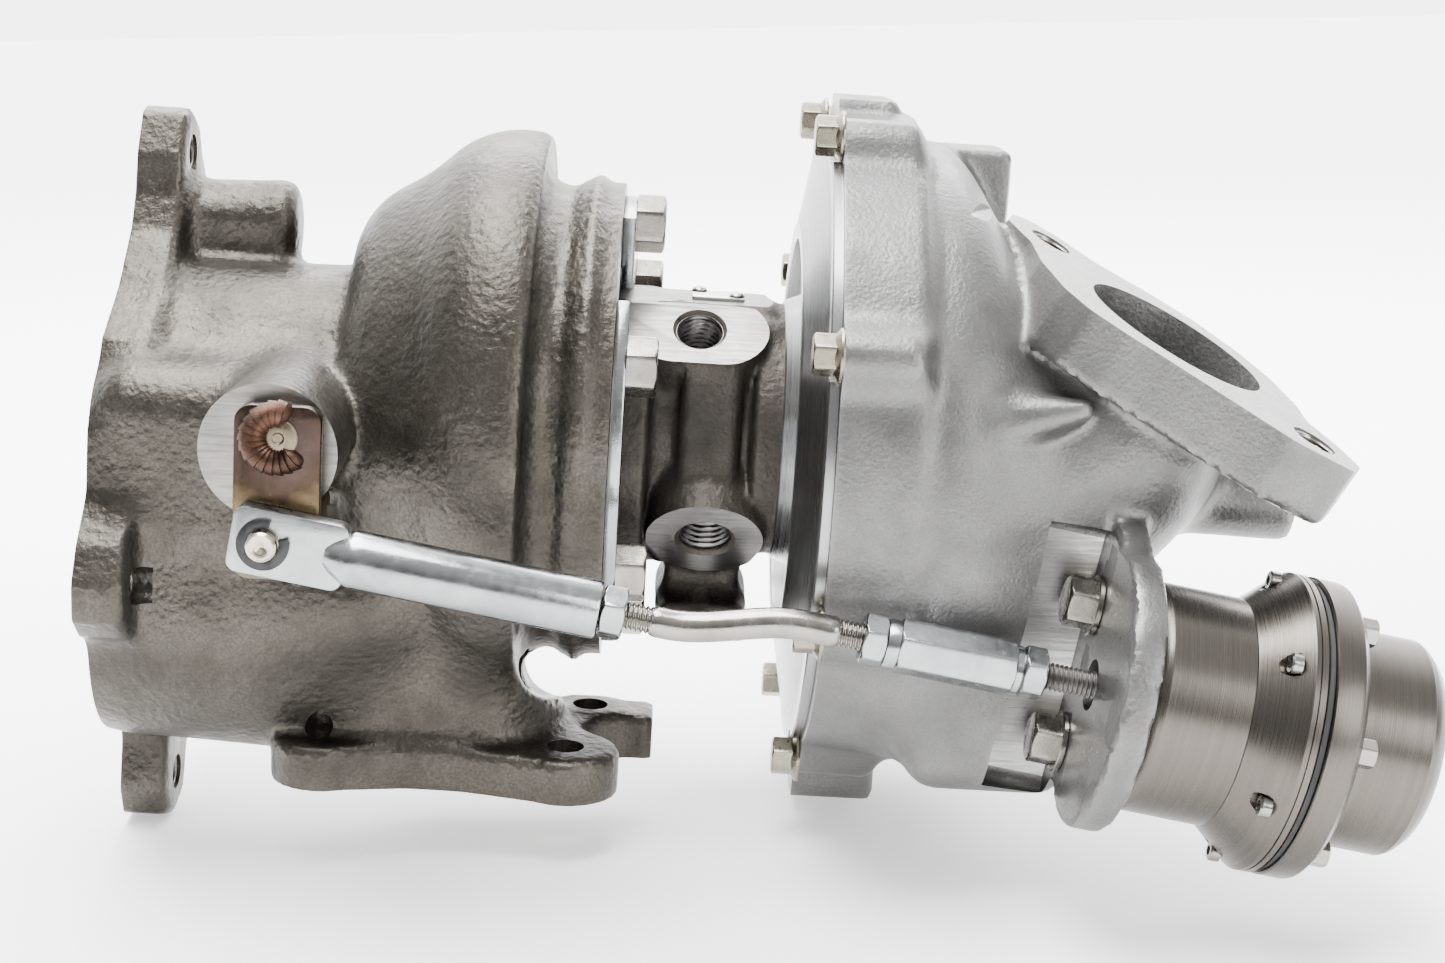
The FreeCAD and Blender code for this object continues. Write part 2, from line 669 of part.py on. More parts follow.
def compressor_backplate():
    """The dished plate behind the compressor wheel."""
    disc = turned([(BACKPLATE_X, 12), (BACKPLATE_X, 31), (158.5, 33), (158.5, 46), (155.2, 46),
                   (155.2, 50), (159.5, 69.5), (159.5, 74.5), (PARTING_X, 74.5),
                   (PARTING_X, REGISTER_R - 0.1), (165, REGISTER_R - 0.1), (165, 9.6),
                   (159.5, 9.6), (159.5, 12)])
    disc = disc.cut(tube_x(162.8, 164.2, REGISTER_R - 1.3, REGISTER_R + 1))
    for k in range(COVER_BOLTS):
        angle = COVER_BOLT_START + 45 * k
        disc = disc.cut(rod_between(around(angle, COVER_BOLT_R, 158), around(angle, COVER_BOLT_R, 166),
                                    BOLT_FLANGE_R + 0.2))
    return disc


def backplate_bolts():
    """Four countersunk screws from the back plate into the centre housing's flange."""
    screws = []
    for k in range(4):
        head = around(45 + 90 * k, 24.5, 164.8)
        screws.append(rod_between(head, head - X_DIR * 3.0, 3.8).fuse(
            rod_between(head - X_DIR * 2.5, head - X_DIR * 18.0, 2.0)))
    return Part.makeCompound(screws)


def backplate_screw_holes():
    """Holes for those screws."""
    cuts = []
    for k in range(4):
        head = around(45 + 90 * k, 24.5, 164.8)
        cuts.append(rod_between(head + X_DIR, head - X_DIR * 3.05, 3.85))
        cuts.append(rod_between(head, head - X_DIR * 18.5, 2.02))
    return cuts


def backplate_o_ring():
    """The seal ring in the back plate's groove."""
    return tube_x(162.9, 164.1, REGISTER_R - 1.25, REGISTER_R + 0.1)


def discharge_frame():
    """The discharge flange's origin under its face and its two in-plane directions."""
    base = DISCHARGE_CENTRE - DISCHARGE_NORMAL * DISCHARGE_T
    return base, DISCHARGE_LONG, DISCHARGE_NORMAL.cross(DISCHARGE_LONG)


def discharge_plate():
    """The outline of the two-bolt flange of the compressor outlet, without its holes."""
    middle = (0, -2, 31)
    straps = [strap(middle, (side * DISCHARGE_HOLE_A, 0, DISCHARGE_LOBE_R), DISCHARGE_T)
              for side in (-1, 1)]
    return placed(fused(straps), *discharge_frame())


def duct(radius):
    """The bent passage from the volute up to the discharge flange's mouth."""
    knee = DISCHARGE_CENTRE - DISCHARGE_NORMAL * 14
    inner = V(VOLUTE_X + 2, -51, -30)
    straight = rod_between(knee, DISCHARGE_CENTRE - DISCHARGE_NORMAL * 4, radius)
    return [straight, bend(knee, DISCHARGE_NORMAL * -1, inner, radius)]


def bracket():
    """The plate that carries the actuator, and the web that joins it to the cover."""
    base = on_act(-BRACKET_T)
    plate = strap((0, 0, BRACKET_R), (34, 10, 20), BRACKET_T)
    plate = placed(plate, base, Y_DIR, ACT_UP)
    web = box(186, 219.5, -62, -12, -62, -14)
    column = bar_x(182, 219, 16, -40, -16)
    return [plate, web, column]


def cover_solid():
    """The outside of the compressor cover."""
    body = turned([(PARTING_X, 0), (PARTING_X, COVER_RIM_R), (182, COVER_RIM_R), (194, 67), (203, 52),
                   (212, AIR_INLET_STOP_R + 4), (217, AIR_INLET_STOP_R),
                   (AIR_INLET_STOP_X, AIR_INLET_STOP_R), (AIR_INLET_STOP_X, AIR_INLET_R),
                   (AIR_INLET_END, AIR_INLET_R), (AIR_INLET_END, 0)])
    pieces = [body, ring_x(VOLUTE_X, VOLUTE_R, VOLUTE_TUBE_R)]
    pieces += duct(DUCT_R + DUCT_WALL)
    pieces.append(bar_x(175, 208, 26, -36, -46))
    for k in range(COVER_BOLTS):
        angle = COVER_BOLT_START + 45 * k
        pieces.append(rod_between(around(angle, COVER_BOLT_R - 0.4, PARTING_X),
                                  around(angle, COVER_BOLT_R - 0.4, 180), 6.2))
    pieces.append(box(188, 204.8, 2, 26, 45, 69.3))
    pieces.append(box(PARTING_X, 181, -14, 10, -88, -70))
    pieces.append(bar_x(205, STUB_SEAT_X, STUB_R, STUB_Y, STUB_Z))
    pieces.append(bar_x(STUB_SEAT_X - JOIN, STUB_END, STUB_SEAT_R, STUB_Y, STUB_Z))
    return fused(pieces + bracket())


def cover_cuts():
    """The hollow inside the compressor cover."""
    cuts = [turned([(PARTING_X - 1, 0), (PARTING_X - 1, REGISTER_R + 0.1),
                    (165.2, REGISTER_R + 0.1), (165.2, 66), (169.9, 60), (169.9, 34.2),
                    (173.3, 28.8), (178.3, 24.6), (186, AIR_INLET_BORE),
                    (AIR_INLET_END + 1, AIR_INLET_BORE), (AIR_INLET_END + 1, 0)])]
    cuts.append(ring_x(VOLUTE_X, VOLUTE_R, VOLUTE_TUBE_R - 4.5))
    cuts += duct(DUCT_R)
    cuts.append(bar_x(212, STUB_END + 1, STUB_BORE_R, STUB_Y, STUB_Z))
    cuts.append(tube_x(AIR_INLET_STOP_X, AIR_INLET_END + 1, AIR_INLET_R, AIR_INLET_STOP_R + 0.2))
    for k in range(COVER_BOLTS):
        angle = COVER_BOLT_START + 45 * k
        cuts.append(rod_between(around(angle, COVER_BOLT_R, PARTING_X - 1),
                                around(angle, COVER_BOLT_R, 176), 2.55))
    cuts.append(rod_between(on_act(-BRACKET_T - 8), on_act(1), 5.5))
    for across, up in ACT_BOLTS:
        cuts.append(rod_between(on_act(-BRACKET_T - 1, across, up), on_act(1, across, up), 3.2))
        cuts.append(rod_between(on_act(-BRACKET_T - 16, across, up), on_act(-BRACKET_T, across, up), 7.0))
    return cuts


def compressor_outlet_flange():
    """The cover casting's two-bolt outlet flange, with its mouth and insert holes."""
    mouth = DISCHARGE_CENTRE - DISCHARGE_NORMAL * MOUTH_DEPTH
    solid = discharge_plate()
    solid = solid.cut(rod_between(mouth, DISCHARGE_CENTRE + DISCHARGE_NORMAL, DISCHARGE_BORE_R))
    solid = solid.cut(rod_between(mouth - DISCHARGE_NORMAL * 10, DISCHARGE_CENTRE, DUCT_R))
    for side in (-1, 1):
        top = DISCHARGE_CENTRE + DISCHARGE_LONG * (side * DISCHARGE_HOLE_A)
        hole = rod_between(top - DISCHARGE_NORMAL * INSERT_DEPTH, top + DISCHARGE_NORMAL, INSERT_R)
        solid = solid.cut(hole)
    return solid


def compressor_cover():
    """The compressor cover casting up to the underside of its outlet flange."""
    solid = cover_solid().cut(discharge_plate())
    for cut in cover_cuts():
        solid = solid.cut(cut)
    solid = solid.cut(rod_between(on_act(0.0), on_act(21.0), CAN_R + 1.5))
    return solid.cut(rod_between(on_act(19.0), on_act(70.0), RING_R + 1.5))


def cover_bolts():
    """Eight flanged screws around the cover's rim."""
    bolts = []
    for k in range(COVER_BOLTS):
        head = around(COVER_BOLT_START + 45 * k, COVER_BOLT_R, PARTING_X)
        bolts.append(hex_bolt(head, X_DIR * -1, 2.5, 13.5, 8.0, 5.6, BOLT_FLANGE_R))
    return Part.makeCompound(bolts)


def outlet_thread_inserts():
    """Steel thread inserts in the discharge flange."""
    inserts = []
    for side in (-1, 1):
        top = DISCHARGE_CENTRE + DISCHARGE_LONG * (side * DISCHARGE_HOLE_A)
        low = top - DISCHARGE_NORMAL * 13
        sleeve = rod_between(low, top, INSERT_R - 0.02)
        inserts.append(sleeve.cut(rod_between(low - DISCHARGE_NORMAL, top + DISCHARGE_NORMAL,
                                              INSERT_BORE_R)))
    return Part.makeCompound(inserts)


# ---------------------------------------------------------------- actuator

def act_turned(outline):
    """Turns an outline of (distance, radius) points about the actuator's axis."""
    return placed(turned(outline), ACT_START, ACT, Y_DIR)


def actuator_body():
    """The can with its cone and the near half of the clamp ring."""
    shape = act_turned([(0, 5.5), (0, CAN_R - 1), (1, CAN_R), (20.5, CAN_R), (29.5, RING_R),
                        (32.5, RING_R), (32.5, 26), (30.5, 22.5), (5.5, 22.5), (5.5, 5.5)])
    for across, up in ACT_BOLTS:
        shape = shape.cut(rod_between(on_act(-1, across, up), on_act(4.5, across, up), 2.52))
    for k in range(6):
        turn = math.radians(60 * k + 20)
        across, up = 29.0 * math.cos(turn), 29.0 * math.sin(turn)
        shape = shape.cut(rod_between(on_act(20, across, up), on_act(27.4, across, up), 2.4))
        shape = shape.cut(rod_between(on_act(25, across, up), on_act(33, across, up), 1.42))
    return shape


def ring_screws():
    """Six recessed screws from the cone into the clamp ring."""
    screws = []
    for k in range(6):
        turn = math.radians(60 * k + 20)
        across, up = 29.0 * math.cos(turn), 29.0 * math.sin(turn)
        screws.append(rod_between(on_act(25.6, across, up), on_act(27.4, across, up), 2.2).fuse(
            rod_between(on_act(27, across, up), on_act(38, across, up), 1.4)))
    return Part.makeCompound(screws)


def actuator_ring():
    """The far half of the clamp ring, which carries the cap."""
    shape = act_turned([(33.9, 26), (33.9, RING_R), (39.5, RING_R), (41.5, RING_R - 2), (41.5, 19),
                        (39.0, 19), (39.0, 26)])
    for k in range(6):
        turn = math.radians(60 * k + 20)
        across, up = 29.0 * math.cos(turn), 29.0 * math.sin(turn)
        shape = shape.cut(rod_between(on_act(33, across, up), on_act(38.2, across, up), 1.42))
    return shape


def diaphragm():
    """The rubber diaphragm, clamped between the two rings."""
    shape = act_turned([(32.5, 20.6), (32.5, RING_R - 1), (33.9, RING_R - 1), (33.9, 20.6)])
    for k in range(6):
        turn = math.radians(60 * k + 20)
        across, up = 29.0 * math.cos(turn), 29.0 * math.sin(turn)
        shape = shape.cut(rod_between(on_act(32, across, up), on_act(35, across, up), 1.45))
    return shape


def actuator_cap():
    """The round cap over the diaphragm."""
    return act_turned([(41.5, 17), (41.5, CAP_R), (59.0, CAP_R), (62.0, CAP_R - 3), (62.0, 0),
                       (58.0, 0), (58.0, 17)])


def cap_screws():
    """Six hexagon screws beside the cap."""
    screws = []
    for k in range(6):
        turn = math.radians(60 * k - 10)
        across, up = 26.6 * math.cos(turn), 26.6 * math.sin(turn)
        screws.append(hex_bar(on_act(41.5, across, up), ACT, 5.4, 3.4))
    return Part.makeCompound(screws)


def actuator_piston():
    """The dish that the diaphragm pushes on."""
    shape = act_turned([(29.6, ROD_R + 0.02), (29.6, 18), (38, 18), (38, 16), (31.6, 16),
                        (31.6, ROD_R + 0.02)])
    return shape


def actuator_spring():
    """The coil spring, as the sleeve that it fills."""
    return act_turned([(5.6, 13.0), (5.6, 16.5), (29.4, 16.5), (29.4, 13.0)])


def actuator_bolts():
    """Two bolts through the bracket into the actuator."""
    bolts = []
    for across, up in ACT_BOLTS:
        head = on_act(-BRACKET_T - 1.6, across, up)
        bolts.append(hex_bolt(head, ACT * -1, 2.5, 12.5, 10.0, 5.5))
    return Part.makeCompound(bolts)


def actuator_washers():
    """A washer under each of those bolts."""
    washers = []
    for across, up in ACT_BOLTS:
        low = on_act(-BRACKET_T - 1.6, across, up)
        high = on_act(-BRACKET_T, across, up)
        washers.append(rod_between(low, high, 6.6).cut(rod_between(low - ACT, high + ACT, 2.6)))
    return Part.makeCompound(washers)


def main():
    os.makedirs("parts", exist_ok=True)
    screw_holes = backplate_screw_holes()
    backplate = compressor_backplate()
    centre = centre_housing()
    for hole in screw_holes:
        backplate = backplate.cut(hole)
        centre = centre.cut(hole)
    save("turbine_housing", turbine_housing())
    save("turbine_clamp_plates", clamp_plates())
    save("turbine_bolts", turbine_bolts())
    save("wastegate_bushing", wastegate_bushing())
    save("wastegate_shaft", wastegate_shaft())
    save("wastegate_flapper", wastegate_flapper())
    save("flapper_washer", flapper_washer())
    save("wastegate_lever", wastegate_lever())
    save("lever_weld", lever_weld())
    save("lever_pin", lever_pin())
    save("e_clip", e_clip())
    save("rod_end_clevis", rod_end_clevis())
    save("jam_nut_clevis", nut(on_link(70.0), ACT, 10.0, 5.0, ROD_R + 0.02))
    save("bent_link_rod", bent_link_rod())
    save("jam_nut_front", nut(on_link(124.0, JOG), ACT, 10.0, 4.9, ROD_R + 0.02))
    save("turnbuckle", turnbuckle())
    save("jam_nut_rear", nut(on_link(158.1, JOG), ACT, 10.0, 4.8, ROD_R + 0.02))
    save("actuator_rod", actuator_rod())
    save("center_housing", centre)
    save("nameplate", nameplate())
    save("nameplate_rivets", nameplate_rivets())
    save("heat_shield", heat_shield())
    save("journal_bearing_turbine", journal_bearing(BEARINGS_X[0]))
    save("journal_bearing_compressor", journal_bearing(BEARINGS_X[1]))
    save("bearing_snap_rings", bearing_snap_rings())
    save("thrust_bearing", thrust_bearing())
    save("seal_plate", seal_plate())
    save("piston_ring_turbine", piston_ring(107.15, 8.58, 7.3))
    save("piston_ring_compressor", piston_ring(161.15, 9.58, 7.7))
    save("turbine_wheel_shaft", turbine_wheel_shaft())
    save("thrust_collar", thrust_collar())
    save("oil_flinger", oil_flinger())
    save("compressor_wheel", compressor_wheel())
    save("compressor_lock_nut", compressor_lock_nut())
    save("compressor_backplate", backplate)
    save("backplate_bolts", backplate_bolts())
    save("backplate_o_ring", backplate_o_ring())
    save("compressor_cover", compressor_cover())
    save("compressor_outlet_flange", compressor_outlet_flange())
    save("cover_bolts", cover_bolts())
    save("outlet_thread_inserts", outlet_thread_inserts())
    save("actuator_body", actuator_body())
    save("actuator_ring_screws", ring_screws())
    save("actuator_ring", actuator_ring())
    save("diaphragm", diaphragm())
    save("actuator_cap", actuator_cap())
    save("actuator_cap_screws", cap_screws())
    save("actuator_piston", actuator_piston())
    save("actuator_spring", actuator_spring())
    save("actuator_bolts", actuator_bolts())
    save("actuator_washers", actuator_washers())


main()
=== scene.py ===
import bmesh
import bpy
import json
import math
import numpy as np
from mathutils import Matrix, Vector


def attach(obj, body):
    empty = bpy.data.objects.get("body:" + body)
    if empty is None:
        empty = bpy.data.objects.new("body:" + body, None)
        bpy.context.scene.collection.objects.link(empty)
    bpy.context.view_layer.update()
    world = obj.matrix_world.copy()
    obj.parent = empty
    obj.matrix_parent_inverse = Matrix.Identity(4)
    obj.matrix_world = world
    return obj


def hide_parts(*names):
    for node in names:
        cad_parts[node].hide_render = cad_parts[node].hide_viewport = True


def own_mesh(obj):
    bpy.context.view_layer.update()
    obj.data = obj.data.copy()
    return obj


# A turbocharger in the frame of its CAD model: X along the shaft, -Y towards the linkage, Z up.
# Shapes are worked out in millimetres, and every mesh is written in metres.

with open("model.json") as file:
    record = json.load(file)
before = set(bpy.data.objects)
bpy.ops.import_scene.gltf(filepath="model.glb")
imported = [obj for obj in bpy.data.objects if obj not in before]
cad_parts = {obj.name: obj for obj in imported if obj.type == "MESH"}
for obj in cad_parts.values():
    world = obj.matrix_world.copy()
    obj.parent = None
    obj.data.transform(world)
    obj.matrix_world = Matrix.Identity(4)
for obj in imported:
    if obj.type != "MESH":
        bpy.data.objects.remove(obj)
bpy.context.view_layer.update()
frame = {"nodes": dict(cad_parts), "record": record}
MM = 0.001


# ---- distance fields
# A field is an array of signed distances in millimetres, negative inside the metal.

def axes_grid(lo, hi, step):
    """Three open coordinate arrays over a box."""
    lines = [np.arange(a, b + step, step, dtype=np.float32) for a, b in zip(lo, hi)]
    return (lines[0][:, None, None], lines[1][None, :, None], lines[2][None, None, :])


def blend_min(a, b, k):
    """The union of two fields, with a fillet of about k."""
    h = np.clip(0.5 + 0.5 * (b - a) / k, 0, 1)
    return b + (a - b) * h - k * h * (1 - h)


def blend_max(a, b, k):
    """The overlap of two fields, with a rounded edge of about k."""
    return -blend_min(-a, -b, k)




def cone(P, start, end, r0, r1):
    """A round limb from start to end whose radius runs from r0 to r1."""
    along = [e - s for s, e in zip(start, end)]
    length2 = sum(a * a for a in along)
    t = sum((p - s) * a for p, s, a in zip(P, start, along)) / length2
    t = np.clip(t, 0, 1)
    gap2 = sum((p - s - t * a) ** 2 for p, s, a in zip(P, start, along))
    return np.sqrt(gap2) - (r0 + (r1 - r0) * t)


def slab(flat, across, half, edge):
    """A plate: a flat field, half its thickness, and its edge radius."""
    dx = flat + edge
    dy = np.abs(across) - half + edge
    return np.minimum(np.maximum(dx, dy), 0) + np.hypot(np.maximum(dx, 0), np.maximum(dy, 0)) - edge


def drum(P, start, end, radius, edge):
    """A round bar with flat ends and rounded edges."""
    start, end = np.array(start, float), np.array(end, float)
    axis = end - start
    length = np.linalg.norm(axis)
    axis = axis / length
    mid = (start + end) / 2
    h = sum((p - m) * a for p, m, a in zip(P, mid, axis))
    far2 = sum((p - m) ** 2 for p, m in zip(P, mid))
    return slab(np.sqrt(np.maximum(far2 - h * h, 0)) - radius, h, length / 2, edge)


def brick(P, lo, hi, edge):
    """A box with rounded edges."""
    outside = [np.abs(p - (a + b) / 2) - (b - a) / 2 + edge for p, a, b in zip(P, lo, hi)]
    reach = np.sqrt(sum(np.maximum(q, 0) ** 2 for q in outside))
    return reach + np.minimum(np.maximum(np.maximum(outside[0], outside[1]), outside[2]), 0) - edge


def dot2(u, v, start, end, r0, r1):
    """A flat round limb between two points (u, v)."""
    du, dv = end[0] - start[0], end[1] - start[1]
    t = np.clip(((u - start[0]) * du + (v - start[1]) * dv) / (du * du + dv * dv), 0, 1)
    return np.hypot(u - start[0] - t * du, v - start[1] - t * dv) - (r0 + (r1 - r0) * t)


def outline2(u, v, corners):
    """The signed distance to a closed outline of (u, v) corners."""
    u, v = np.broadcast_arrays(u, v)
    best = np.full(u.shape, 1e9, np.float32)
    inside = np.zeros(u.shape, bool)
    for k in range(len(corners)):
        (u0, v0), (u1, v1) = corners[k - 1], corners[k]
        du, dv = u1 - u0, v1 - v0
        t = np.clip(((u - u0) * du + (v - v0) * dv) / (du * du + dv * dv), 0, 1)
        best = np.minimum(best, np.hypot(u - u0 - t * du, v - v0 - t * dv))
        if v0 != v1:
            cross = (v0 > v) != (v1 > v)
            inside ^= cross & (u < du * (v - v0) / dv + u0)
    return np.where(inside, -best, best)


def join(body, *limbs):
    """Adds limbs to a field one after another, each a (field, fillet) pair."""
    for field, fillet in limbs:
        body = blend_min(body, field, fillet)
    return body


# ---- meshes from fields

def crossings(field, cells):
    """The mean place where the field changes sign on each cell's edges, as shares of a cell."""
    total = np.zeros((len(cells), 3))
    count = np.zeros(len(cells))
    for axis in range(3):
        for base in (corner for corner in np.ndindex(2, 2, 2) if corner[axis] == 0):
            tip = np.array(base)
            tip[axis] = 1
            f0 = field[tuple((cells + base).T)]
            f1 = field[tuple((cells + tip).T)]
            cut = (f0 < 0) != (f1 < 0)
            point = np.repeat(np.array([base], float), len(cells), 0)
            point[:, axis] = np.where(cut, f0 / np.where(cut, f0 - f1, 1), 0)
            total += np.where(cut[:, None], point, 0)
            count += cut
    return total / count[:, None]


def edge_quads(inside, index, axis):
    """A quad around each grid edge along an axis whose ends lie on different sides."""
    first, second = [slice(1, -1)] * 3, [slice(1, -1)] * 3
    first[axis] = slice(0, -1)
    second[axis] = slice(1, None)
    start = np.argwhere(inside[tuple(first)] != inside[tuple(second)]) + 1
    start[:, axis] -= 1
    ring = []
    for shift in ((-1, -1), (0, -1), (0, 0), (-1, 0)):
        cell = start.copy()
        cell[:, (axis + 1) % 3] += shift[0]
        cell[:, (axis + 2) % 3] += shift[1]
        ring.append(index[tuple(cell.T)])
    ring = np.stack(ring, 1)
    flip = ~inside[tuple(start.T)]
    ring[flip] = ring[flip][:, ::-1]
    return ring


def surface(field, lo, step):
    """Vertices (mm) and quads of the field's zero surface, by surface nets."""
    inside = field < 0
    shape = np.array(field.shape) - 1
    solid_corners = sum(inside[dx:dx + shape[0], dy:dy + shape[1], dz:dz + shape[2]].astype(np.int8)
                        for dx, dy, dz in np.ndindex(2, 2, 2))
    cells = np.argwhere((solid_corners > 0) & (solid_corners < 8))
    index = np.full(shape, -1, np.int64)
    index[tuple(cells.T)] = np.arange(len(cells))
    vertices = np.array(lo) + (cells + crossings(field, cells)) * step
    return vertices, np.concatenate([edge_quads(inside, index, axis) for axis in range(3)])


def mend_pinches(vertices, quads):
    """Removes faces at edges where more than two faces meet, and closes the holes."""
    mesh = bmesh.new()
    made = [mesh.verts.new(v) for v in vertices]
    for quad in quads:
        corners = list(dict.fromkeys(made[k] for k in quad))
        if len(corners) > 2 and mesh.faces.get(corners) is None:
            mesh.faces.new(corners)
    for _ in range(4):
        pinched = [v for v in mesh.verts if not v.is_manifold and not v.is_boundary]
        pinched += [v for e in mesh.edges if len(e.link_faces) > 2 for v in e.verts]
        if not pinched:
            break
        near = set(f for v in pinched for f in v.link_faces)
        bmesh.ops.delete(mesh, geom=list(near), context="FACES")
        bmesh.ops.delete(mesh, geom=[v for v in mesh.verts if not v.link_faces], context="VERTS")
        bmesh.ops.holes_fill(mesh, edges=[e for e in mesh.edges if e.is_boundary], sides=0)
    bmesh.ops.collapse(mesh, edges=[e for e in mesh.edges if e.is_boundary], uvs=False)
    bmesh.ops.triangulate(mesh, faces=[f for f in mesh.faces if len(f.verts) > 4])
    return mesh


def new_object(name, mesh):
    """Puts a mesh into the scene."""
    piece = bpy.data.objects.new(name, mesh)
    bpy.context.scene.collection.objects.link(piece)
    return piece


def mesh_object(name, vertices, faces):
    """A new object from vertices in millimetres."""
    mesh = bpy.data.meshes.new(name)
    mesh.from_pydata((np.asarray(vertices) * MM).tolist(), [], faces)
    mesh.validate()
    mesh.update()
    return new_object(name, mesh)


def cast(name, lo, hi, step, field_of):
    """A casting from a field function over a box."""
    field = field_of(axes_grid(lo, hi, step)).astype(np.float32)
    for axis in range(3):
        ends = [slice(None)] * 3
        for end in (0, -1):
            ends[axis] = end
            field[tuple(ends)] = step
    vertices, quads = surface(field, lo, step)
    mended = mend_pinches(vertices * MM, quads)
    mesh = bpy.data.meshes.new(name)
    mended.to_mesh(mesh)
    mended.free()
    return new_object(name, mesh)


def circle(centre, u, v, reach, sides):
    """Points around a centre; reach is a radius, or gives one for a share of a turn."""
    points = []
    for k in range(sides):
        angle = 2 * math.pi * k / sides
        radius = reach(k / sides) if callable(reach) else reach
        points.append(centre + (u * math.cos(angle) + v * math.sin(angle)) * radius)
    return points


def bar_mesh(start, end, radius, sides=64, tip_radius=None):
    """Vertices and faces of a round bar or cone between two points, in millimetres."""
    start, end = Vector(start), Vector(end)
    axis = (end - start).normalized()
    side = axis.orthogonal().normalized()
    up = axis.cross(side)
    vertices = circle(start, side, up, radius, sides)
    vertices += circle(end, side, up, radius if tip_radius is None else tip_radius, sides)
    faces = [(k, (k + 1) % sides, sides + (k + 1) % sides, sides + k) for k in range(sides)]
    return vertices, faces + [tuple(reversed(range(sides))), tuple(range(sides, 2 * sides))]


def block_mesh(lo, hi):
    """Vertices and faces of a box, in millimetres."""
    vertices = [(x, y, z) for x in (lo[0], hi[0]) for y in (lo[1], hi[1]) for z in (lo[2], hi[2])]
    faces = [(0, 1, 3, 2), (4, 6, 7, 5), (0, 4, 5, 1), (2, 3, 7, 6), (0, 2, 6, 4), (1, 5, 7, 3)]
    return vertices, faces


def carve(piece, cutters):
    """Cuts crisp shapes, each (vertices, faces) in millimetres, out of a piece."""
    for vertices, faces in cutters:
        tool = mesh_object("cutter", [tuple(v) for v in vertices], faces)
        cut = piece.modifiers.new("cut", "BOOLEAN")
        cut.operation = "DIFFERENCE"
        cut.solver = "MANIFOLD"
        cut.object = tool
        bake_modifiers(piece)
        bpy.data.objects.remove(tool)


def bake_modifiers(piece):
    """Applies a piece's modifiers to its mesh."""
    graph = bpy.context.evaluated_depsgraph_get()
    mesh = bpy.data.meshes.new_from_object(piece.evaluated_get(graph))
    piece.modifiers.clear()
    old = piece.data
    piece.data = mesh
    bpy.data.meshes.remove(old)


def smooth(piece, angle=35):
    """Smooth shading with sharp edges above an angle in degrees."""
    mesh = piece.data
    mesh.polygons.foreach_set("use_smooth", [True] * len(mesh.polygons))
    mesh.set_sharp_from_angle(angle=math.radians(angle))


# ---- turbine housing

FLANGE_OUTLINE = [
    (12, 66), (8, 67.5), (3.5, 66), (-1.5, 57), (-3, 48), (-7, 40), (-19, 28), (-34, 18), (-39, 6),
    (-45.5, -1), (-46.5, -14), (-56, -24), (-60, -32), (-59.5, -40), (-53, -45.5), (-31, -53), (-19, -63),
    (-13.5, -73), (-13, -84), (-14.5, -95), (-11, -102.5), (-3, -105), (6, -102), (9, -92), (18, -80),
    (34, -74), (44, -74), (51, -66), (50, -57), (42, -46), (38, -30), (39, -12), (45, 14), (56, 21),
    (57, 32), (50, 38), (41, 38), (28, 46), (20, 56), (17, 63)]
OUTLET_HOLES = [(8, 57), (-50, -34), (-3, -94), (47, 28), (41, -64)]
INLET_HOLES = [(51, -35), (107.5, -35), (112, -5)]
INLET_FACE_Z = -81.5
TURBINE_FACE_X = 114.0
BOSS_FACE_Y = -74.5
BOSS_X, BOSS_Z = 44.1, 3.1
SHAFT_X, SHAFT_Z = 47.6, 7.6


def turbine_body(P):
    """The outlet side of the exhaust housing: chamber, stud column, belly and shelf."""
    return join(drum(P, (4, 0, 0), (56, 0, 0), 33, 6),
                (drum(P, (2, 10, 42), (36, 10, 43), 8.5, 3.5), 7),
                (brick(P, (2, 2, 20), (34, 14, 44), 3), 6),
                (cone(P, (8, -14, -46), (40, -12, -48), 33, 33), 10),
                (brick(P, (-3, -49, -32), (52, 0, 15), 13), 8),
                (cone(P, (20, -26, -40), (62, -34, -36), 20, 17), 12))


def scroll_field(P):
    """The scroll around the turbine wheel."""
    x, y, z = P
    shoulder = np.hypot(np.hypot(y, z) - 38, x - 69.5) - 16.5
    main = np.hypot(np.hypot(y, z - 1.5) - 42, x - 90) - 24
    return join(shoulder, (drum(P, (56, 0, 0), (112, 0, 0), 44, 3), 5), (main, 7))


def inlet_flange_field(P):
    """The three-lobed plate under the scroll, with its side lug."""
    x, y, z = P
    plate = join(dot2(x, y, (78, -17), (51, -34), 23, 11.5),
                 (dot2(x, y, (80, -17), (107.5, -34), 24, 12.5), 4),
                 (dot2(x, y, (80, -15), (112, -5), 24, 9), 4))
    lug = brick(P, (106, -11, -83), (127.5, 3, -71), 1.5)
    return blend_min(slab(plate, z + 77, 6, 2.2), lug, 3)


def turbine_shell(P):
    """The outside of the exhaust housing."""
    x, y, z = P
    runner = slab(dot2(x, y, (66, -16), (84, -16), 23, 22), z + 48, 30, 3)
    flange = slab(outline2(y, z, FLANGE_OUTLINE), x - 4.5, 6.5, 2.0)
    body = join(turbine_body(P), (scroll_field(P), 5), (runner, 9), (flange, 5), (inlet_flange_field(P), 4))
    groove = np.hypot(np.hypot(y, z) - 61.5, x - 101.5) - 6.2
    body = blend_max(body, -groove, 3)
    rim = drum(P, (104, 0, 0), (116, 0, 0), 56.5, 0.8)
    boss = drum(P, (BOSS_X, -78, BOSS_Z), (BOSS_X, -20, BOSS_Z), 14.5, 0.5)
    return join(body, (rim, 1.5), (boss, 4))


